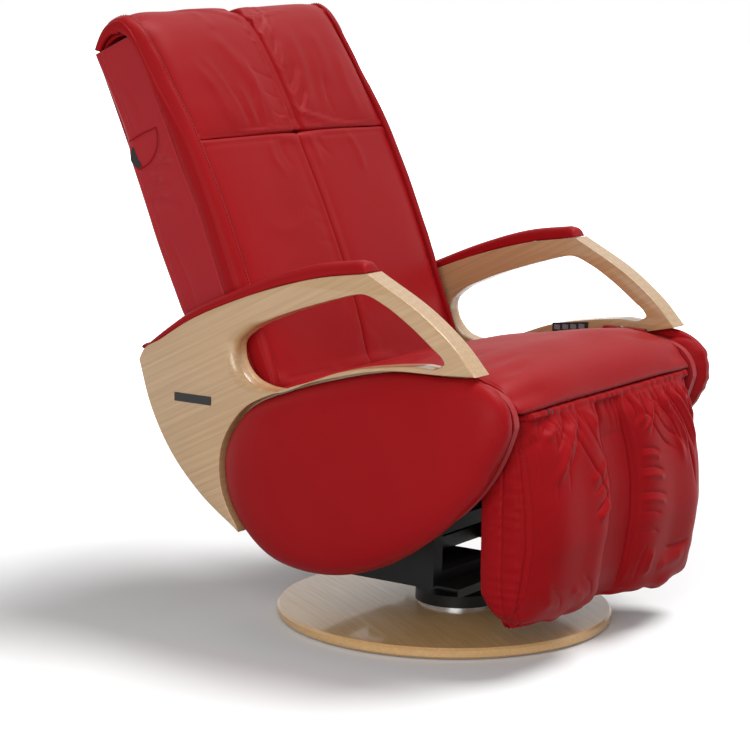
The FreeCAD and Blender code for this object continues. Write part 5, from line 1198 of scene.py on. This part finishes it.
def make_pods():
    """The side pods: rings of the pod's outline, each shrunk about its middle by how far out
    it lies, from the wood to the crown of the leather."""
    outline = through([pod_point(p) for p in POD_SHARES], 200, closed=True)
    core = through([pod_point(p, 0.92) for p in POD_SHARES], 200, closed=True)
    middle = np.array(pod_point(POD_MIDDLE))
    ahead = np.clip((-286 - outline[:, :1]) / 20, 0, 1)
    for side, word in SIDES:
        place = np.concatenate([np.linspace(0, 0.5, 14)[:-1], np.linspace(0.5, 0.9, 22)[:-1],
                                np.linspace(0.9, 1.0, 30)])
        grow = smooth(POD_CROWN, place)[:, 0]
        rings = []
        for x, g in ((325.4, 0.90), (327, 0.93), (331, 0.962), (338, 0.987), (345.2, 0.9975)):
            ring = core + (middle + (outline - middle) * g - core) * ahead
            rings.append(np.column_stack([np.full(200, side * x), ring]))
        for share, g in zip(place, grow):
            x = side * (345.4 + (400.0 - 345.4) * share)
            ring = middle + (outline - middle) * (g + (0.9985 - g) * ahead * (share < 0.16))
            rings.append(np.column_stack([np.full(200, x), ring]))
        grid = np.array(rings)
        y, z = grid[..., 1], grid[..., 2]
        soft = np.zeros(grid.shape[:2])
        soft[5:] = 1
        soft[:5] = ahead[:, 0]
        if side > 0:
            marks = [(h, 4, [(-350, z0), (-326, z0 + 8), (-290, z0 + 4)])
                     for h, z0 in ((1.2, 470), (-2.2, 458), (1.2, 446), (-2.4, 434), (1.2, 424),
                                   (-2.2, 412), (1.2, 400), (-2.2, 388), (1.0, 374),
                                   (-1.8, 360), (1.0, 346), (-1.6, 330))]
        else:
            marks = [(1.0, 14, [(-330, 470), (-300, 440), (-290, 380)]),
                     (-0.8, 10, [(-300, 494), (-250, 480), (-220, 440)]),
                     (-1.4, 4, [(-346, 420), (-332, 414), (-318, 416)]),
                     (-1.4, 4, [(-346, 404), (-330, 398), (-314, 400)]),
                     (-1.2, 4, [(-344, 438), (-332, 434), (-320, 436)])]
        lifts = soft * (strokes(y, z, marks) + 1.2 * noise(y / 120, z / 120, 51 + side))
        held = soft < 0.5
        held[-1] = False
        cushion("pod_cover_" + word, grid, "chassis", ["pod_" + word],
                held, POD_REACH, lifts)


make_pods()


# Leg rest

LEG_FRONT = [(82, -322, 246), (92, -336, 262), (106, -345, 276), (125, -355, 285),
             (149, -363, 290), (192, -370, 292), (227, -374, 292), (283, -372, 293),
             (331, -366, 292), (379, -358, 290), (409, -349, 287), (430, -339, 285),
             (443, -334.5, 284)]
BAND = [(82, -38, 38), (98, -34, 39), (145, -56, 35), (179, -60, 34), (239, -51, 36),
        (286, -45, 38), (334, -50, 36), (383, -62, 28), (419, -55, 19), (443, -57, 25)]


FAR_SIDE = [(82, 10), (92, 22), (106, 30), (125, 31), (150, 26), (235, 22), (300, 20),
            (360, 16), (400, 12), (436, 6)]


def gathered(x):
    """Small gathers along a seam: creases and soft ridges at uneven places, from a sine whose
    phase wanders, with its lower half sharpened."""
    wave = np.sin(x / 4.4 + 2.4 * np.sin(x / 31) + 1.2 * np.sin(x / 11.3))
    return 1.2 * wave - 1.6 * np.clip(-wave, 0, 1) ** 3 + 0.7 * noise(x / 16, 0 * x, 83, 6)


def make_leg_rest():
    """The leg rest's cover: level rows round two upright rolls with a sunk band between them,
    gathered under the seat's lip, with narrow side strips and a round, wavy hem."""
    z_rows = np.concatenate([np.linspace(84, 120, 22)[:-1], np.linspace(120, 438, 180)])
    table = smooth(LEG_FRONT, z_rows)
    band = smooth(BAND, z_rows)
    cols = 440
    rows = []
    for z, (front, half), (left, right) in zip(z_rows, table, band):
        corner = max(min(-322.0, front + 30), front + 16)
        rear = -251.0 if z > 140 else -251.0 - (140 - z) * 0.45
        wider = float(smooth(FAR_SIDE, [z])[0, 0])
        side = corner - rear
        far = 20 * (1 - min(1.0, (z - 84) / 70)) ** 1.5
        dip = 0.3 + 0.7 * min(1.0, max(0.0, (438 - z) / 60))
        outline = [(-half + 5, rear), (-half + 0.5, rear + 0.16 * side),
                   (-half, rear + 0.45 * side), (-half + 3, rear + 0.78 * side),
                   (-half + 14, corner + 3), (-half * 0.82, front + 8),
                   (-half * 0.52, front), (left - 14, front + 4 * dip),
                   (left - 2, front + 13 * dip), ((left + right) / 2 - 6, front + 20 * dip),
                   ((left + right) / 2 + 8, front + 20 * dip), (right + 2, front + 12 * dip),
                   (right + 14, front + 3 * dip),
                   (half * 0.54 + wider * 0.5, front - 3 - far),
                   (half * 0.84 + wider * 0.9, front - far), (half - 9 + wider, corner - 5 - far),
                   (half - 1 + wider * 0.8, rear + 0.78 * side - far * 0.5),
                   (half + wider * 0.3, rear + 0.42 * side), (half - 0.5, rear + 0.16 * side),
                   (half - 5, rear)]
        line = through(outline, cols)
        rows.append(np.column_stack([line, np.full(cols, z)]))
    grid = np.array(rows)
    x, y, z = grid[..., 0], grid[..., 1], grid[..., 2]
    face = np.clip((-296 - y) / 24, 0, 1)
    marks = [
        (5.0, 9, [(-156, 440), (-152, 424), (-168, 404), (-194, 376), (-214, 352),
                  (-236, 330)]),
        (-4.6, 8, [(-178, 440), (-176, 426), (-194, 404), (-218, 382)]),
        (-3.6, 8, [(-136, 440), (-134, 418), (-150, 390), (-172, 364), (-196, 340)]),
        (3.0, 8, [(-118, 440), (-102, 432), (-88, 420), (-92, 398)]),
        (-2.6, 6, [(-98, 440), (-82, 428), (-76, 404)]),
        (3.2, 7, [(-206, 440), (-200, 432), (-210, 420), (-240, 402)]),
        (-2.8, 6, [(-226, 440), (-224, 430), (-240, 414)]),
        (3.0, 7, [(-250, 440), (-256, 426), (-262, 404)]),
        (-2.6, 6, [(-240, 436), (-246, 420), (-250, 396)]),
        (3.0, 6, [(-276, 438), (-278, 420), (-276, 392)]),
        (4.0, 7, [(56, 440), (68, 420), (70, 402), (56, 386)]),
        (-3.4, 6, [(44, 440), (54, 420), (56, 404), (46, 390)]),
        (-3.4, 6, [(84, 440), (88, 420), (82, 398), (62, 378)]),
        (4.0, 8, [(106, 440), (110, 420), (94, 396), (66, 374)]),
        (-3.2, 7, [(128, 440), (128, 418), (110, 392), (84, 366)]),
        (4.2, 8, [(158, 440), (166, 416), (196, 370), (226, 320)]),
        (-4.0, 7, [(142, 440), (150, 414), (174, 372), (198, 330)]),
        (3.8, 7, [(188, 440), (216, 404), (248, 350), (262, 310)]),
        (-3.6, 6, [(174, 440), (194, 410), (222, 364), (246, 320)]),
        (3.4, 6, [(224, 438), (248, 404), (270, 360)]),
        (-3.2, 5, [(208, 438), (230, 410), (256, 370)]),
        (3.0, 5, [(252, 436), (268, 412), (280, 384)]),
        (-4.4, 9, [(-66, 300), (-88, 280), (-122, 262)]),
        (3.4, 9, [(-64, 276), (-84, 264), (-112, 250)]),
        (-3.6, 8, [(-62, 330), (-84, 314), (-124, 296)]),
        (2.6, 8, [(-70, 352), (-96, 330), (-130, 316)]),
        (-4.6, 8, [(176, 446), (178, 420), (204, 370), (232, 310), (252, 250)]),
        (3.4, 9, [(160, 440), (160, 410), (182, 360), (206, 300)]),
        (-2.4, 5, [(56, 346), (84, 344), (112, 334)]),
        (2.0, 5, [(54, 334), (82, 332), (112, 322)]),
        (-2.4, 5, [(52, 312), (86, 310), (122, 298)]),
        (2.0, 5, [(52, 298), (86, 296), (122, 286)]),
        (-2.2, 5, [(50, 270), (90, 266), (128, 254)]),
        (2.0, 5, [(50, 256), (90, 252), (128, 240)]),
        (-2.2, 5, [(48, 236), (80, 232), (112, 222)]),
        (-2.0, 6, [(52, 200), (84, 198), (110, 188)]),
        (3.6, 12, [(230, 130), (180, 122), (130, 118)]),
        (-3.4, 9, [(240, 150), (190, 146), (150, 150)]),
        (3.0, 10, [(96, 110), (92, 134), (98, 160)]),
        (-3.0, 8, [(70, 104), (66, 130), (72, 170)]),
        (-2.6, 8, [(-90, 110), (-110, 140), (-140, 160)]),
        (2.6, 9, [(-110, 100), (-136, 124), (-170, 140)]),
        (-2.2, 7, [(-180, 104), (-200, 130), (-230, 150)]),
        (-3.0, 6, [(-160, 440), (-150, 400), (-120, 350), (-84, 300), (-66, 262)]),
        (-2.6, 6, [(-120, 440), (-108, 404), (-84, 366), (-66, 336)]),
        (-2.4, 6, [(-212, 440), (-214, 396), (-226, 340), (-232, 290)]),
        (-2.2, 6, [(-186, 440), (-184, 400), (-190, 350), (-196, 310)]),
        (-2.4, 6, [(-262, 434), (-262, 390), (-264, 330)]),
        (-2.8, 6, [(70, 440), (92, 396), (132, 352), (176, 326)]),
        (-2.4, 6, [(98, 440), (120, 402), (154, 366), (190, 346)]),
        (-2.4, 6, [(118, 440), (144, 410), (176, 384)]),
        (-2.6, 6, [(238, 440), (252, 380), (262, 300), (266, 240)]),
        (2.0, 9, [(-216, 110), (-236, 140), (-250, 180)]),
    ]
    marks = [(h * 1.3, width * (0.95 if h > 0 else 0.6), line) for h, width, line in marks]
    fan = x + (440 - z) * (0.30 * np.sign(x - 10) + x / 700)
    gathers = 0.7 * gathered(fan) * np.clip((z - 366) / 70, 0, 1) ** 1.6
    lifts = face * (strokes(x, z, marks) + gathers)
    near_band = np.interp(z, z_rows, band[:, 0])
    far_band = np.interp(z, z_rows, band[:, 1])
    sew = np.clip((z - 100) / 20, 0, 1)
    lifts -= face * sew * (5.0 * bell(x - near_band - 4, 7.0)
                           + 4.0 * np.exp(-np.abs(x - near_band - 1) / 2.2))
    lifts -= face * sew * 5.0 * np.exp(-np.abs(x - far_band + 1) / 2.4)
    lifts += face * sew * 2.2 * bell(x - far_band - 8, 5.0)
    lifts += face * 1.5 * noise(x / 60, z / 80, 61)
    strip = (np.abs(x) > 268) & (y > -330)
    ripple = (np.sin(z / 3.1 + 2.2 * np.sin(z / 23)) * 0.7 + np.sin(z / 5.3 + y / 9) * 0.5
              + 0.9 * noise(z / 12, y / 16, 67))
    lifts += strip * ripple * np.clip((-264 - y) / 10, 0, 1) * np.clip((y + 332) / 8, 0, 1)
    lifts -= 2.4 * bell(y + 292, 2.2) * (np.abs(x) > 268)
    corners = np.interp(z, z_rows, np.maximum(np.minimum(-322.0, table[:, 0] + 30),
                                              table[:, 0] + 16))
    turn = corners + 8 - y
    lifts -= 3.6 * np.exp(-np.abs(turn) / 1.6) * (np.abs(x) > 240)
    lifts += 1.8 * bell(turn + 5, 2.6) * (np.abs(x) > 240)
    lifts += (4.0 * noise(x / 34, 0 * z, 71, 5) * np.clip((120 - z) / 36, 0, 1))
    normal = grid_normals(grid, wrap_cols=False)
    if (normal[..., 1] * (np.abs(x) < 100)).sum() > 0:
        normal = -normal
    lifts = np.where(lifts > 0, lifts * np.clip((440 - z) / 26, 0.12, 1), lifts)
    grid = grid + normal * lifts[..., None]
    grid[0, :, 2] += 3.5 * noise(grid[0, :, 0] / 30, 0 * grid[0, :, 0], 73, 5)
    grid[..., 2] -= (10 * np.clip((124 - z) / 40, 0, 1) * np.clip((x - 60) / 120, 0, 1))
    # the bottom turns under towards the back board
    under = []
    for share, rise in ((0.06, -4.0), (0.16, -6.5), (0.35, -6.0), (0.62, 4.0), (0.85, 20.0),
                        (0.97, 36.0), (1.0, 42.0)):
        row = grid[0].copy()
        goal = np.column_stack([np.clip(row[:, 0], -266, 266), np.maximum(row[:, 1], -275.0),
                                row[:, 2]])
        dip = np.clip((-282 - row[:, 1]) / 20, 0, 1) if rise < 0 else 1.0
        row = row + (goal - row) * share
        row[:, 2] = grid[0, :, 2] + rise * dip
        under.append(row)
    # the top rolls back over the hinge
    hem = []
    last = grid[-1]
    front_share = np.clip((-300 - last[:, 1]) / 20, 0, 1)
    for angle in (196, 180, 164, 148, 132, 116, 100, 80, 56):
        a = math.radians(angle)
        radius = 9.3 + gathered(last[:, 0]) * 0.3
        ring_y = -325 + radius * math.cos(a)
        ring_z = 444 + radius * math.sin(a)
        row = last.copy()
        row[:, 1] = last[:, 1] + (ring_y - last[:, 1]) * front_share
        side_z = last[:, 2] + (196 - angle) * 0.05
        row[:, 2] = side_z + (ring_z - side_z) * front_share
        hem.append(row)
    sheet = np.concatenate([np.array(under[::-1]), grid, np.array(hem)], 0)
    points = sheet.reshape(-1, 3)
    faces = grid_faces(*sheet.shape[:2])
    obj = piece("leg_cover", points, faces, RED_LEG, "leg_rest", closed=False)
    wall = obj.modifiers.new("wall", "SOLIDIFY")
    wall.thickness = 5 * MM
    wall.offset = -1
    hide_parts("leg_pad")
    rows = np.arange(14, grid.shape[0] - 3)
    lines = (("side", -275 + 0 * z_rows), ("near", band[:, 0] - 6), ("far", band[:, 1] + 5))
    for word, target in lines:
        ahead = np.where(grid[..., 1] < -305, np.abs(x - target[:, None]), 1e3)
        pick = ahead.argmin(1)
        at = grid[rows, pick[rows]]
        at = np.stack([np.convolve(np.pad(at[:, k], 2, "edge"), np.ones(5) / 5, "valid")
                       for k in range(3)], 1)
        lift = normal[rows, pick[rows]]
        stitched("leg_stitches_" + word, at + lift * 0.5, lift, THREAD, "leg_rest")


make_leg_rest()


# Finishes of the frame's own pieces

def dress_frame():
    """Every CAD piece that shows keeps its mesh and gets a worked finish."""
    # Painted light: the side boards take the leather copy painted lighter.
    special = {"name_plate": NAME_PLATE, "side_board_left": RED_SIDE_PAINTED_LIGHT,
               "side_board_right": RED_SIDE_PAINTED_LIGHT}
    for name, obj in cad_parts.items():
        given = [slot.material.name.split(".")[0] if slot.material else "" for slot in
                 obj.material_slots]
        for number, old in enumerate(given):
            new = SLOT_FINISH.get(old, BLACK_STEEL)
            if name in special:
                new = special[name]
            # Wooden CAD pieces other than the arms take the foot beech, painted paler as painted
            # light.
            elif old == "wood" and "arm" not in name:
                new = FOOT_WOOD_PAINTED_LIGHT
            obj.material_slots[number].material = new


dress_frame()


# Floor, light and camera

def make_floor():
    """A pale floor that the camera and reflections see as white, shining a little more with
    the distance from the chair so that it ends in the white behind, and that keeps the shadow."""
    mesh = bpy.data.meshes.new("floor")
    far = 30.0
    mesh.from_pydata([(-far, -far, 0), (far, -far, 0), (far, far, 0), (-far, far, 0)], [],
                     [(0, 1, 2, 3)])
    floor = bpy.data.objects.new("floor", mesh)
    bpy.context.scene.collection.objects.link(floor)
    pale = bpy.data.materials.new("pale floor")
    pale.use_nodes = True
    tree = pale.node_tree
    skin = tree.nodes["Principled BSDF"]
    skin.inputs["Roughness"].default_value = 0.9
    skin.inputs["Specular IOR Level"].default_value = 0.05
    path = tree.nodes.new("ShaderNodeLightPath")
    seen = sums(tree, "MAXIMUM", path.outputs["Is Camera Ray"], path.outputs["Is Glossy Ray"])
    seen = sums(tree, "MAXIMUM", seen, path.outputs["Is Transmission Ray"])
    tree.links.new(mixed(tree, seen, (0.32, 0.31, 0.31), (0.94, 0.95, 0.95)),
                   skin.inputs["Base Color"])
    where = tree.nodes.new("ShaderNodeTexCoord")
    length = tree.nodes.new("ShaderNodeVectorMath")
    length.operation = "LENGTH"
    tree.links.new(where.outputs["Object"], length.inputs[0])
    far_off = ramp(tree, sums(tree, "MULTIPLY", length.outputs["Value"], 0.2),
                   [(0.16, (0.03, 0.03, 0.03)), (0.40, (0.6, 0.6, 0.6)), (0.7, (1, 1, 1))])
    skin.inputs["Emission Color"].default_value = (1, 1, 1, 1)
    tree.links.new(sums(tree, "MULTIPLY", seen, far_off), skin.inputs["Emission Strength"])
    mesh.materials.append(pale)


make_floor()


def make_light(name, place, target, size, power, colour=(1, 1, 1)):
    lamp = bpy.data.lights.new(name, "AREA")
    lamp.shape = "DISK"
    lamp.size = size
    lamp.energy = power
    lamp.color = colour
    obj = bpy.data.objects.new(name, lamp)
    bpy.context.scene.collection.objects.link(obj)
    obj.location = place
    away = Vector(place) - Vector(target)
    obj.rotation_euler = away.to_track_quat("Z", "Y").to_euler()


make_light("fill", (-3.4, -1.5, 1.4), (0, 0, 0.6), 2.2, 74)


def make_sun():
    """The key: broad daylight from high on the chair's left front."""
    lamp = bpy.data.lights.new("key", "SUN")
    lamp.energy = 2.55
    lamp.angle = math.radians(28)
    obj = bpy.data.objects.new("key", lamp)
    bpy.context.scene.collection.objects.link(obj)
    obj.rotation_euler = Vector((0.46, -0.30, 1.15)).to_track_quat("Z", "Y").to_euler()


make_sun()

world = bpy.data.worlds.new("studio")
world.use_nodes = True
bpy.context.scene.world = world
tree = world.node_tree
back = tree.nodes["Background"]
path = tree.nodes.new("ShaderNodeLightPath")
seen = sums(tree, "MAXIMUM", path.outputs["Is Camera Ray"], path.outputs["Is Transmission Ray"])
seen = sums(tree, "MAXIMUM", seen, path.outputs["Is Glossy Ray"])
level = sums(tree, "MULTIPLY_ADD", seen, 0.71, 0.29)
back.inputs["Color"].default_value = (1, 1, 1, 1)
tree.links.new(level, back.inputs["Strength"])

bpy.context.scene.view_settings.view_transform = "Standard"


def make_camera():
    """A long lens three-quarter view from the chair's front right, a little above it. The
    camera looks along an azimuth and elevation, turned by its roll, at a point beside the
    origin."""
    azimuth, elevation, roll = map(math.radians, (-56.0, 9.7604, 0.907))
    distance, beside, above = 4.404662, -0.12599, 0.436966
    back = Vector((math.sin(azimuth) * math.cos(elevation),
                   -math.cos(azimuth) * math.cos(elevation), math.sin(elevation)))
    right = (-back).cross(Vector((0, 0, 1))).normalized()
    up = right.cross(-back)
    across = right * math.cos(roll) + up * math.sin(roll)
    upright = up * math.cos(roll) - right * math.sin(roll)
    place = across * beside + upright * above + back * distance
    lens = bpy.data.cameras.new("camera")
    lens.sensor_width = 36
    lens.lens = 115.43
    lens.clip_end = 100
    obj = bpy.data.objects.new("camera", lens)
    bpy.context.scene.collection.objects.link(obj)
    turn = Matrix((across, upright, back)).transposed().to_4x4()
    obj.matrix_world = Matrix.Translation(place) @ turn
    bpy.context.scene.camera = obj


make_camera()

bpy.context.view_layer.update()
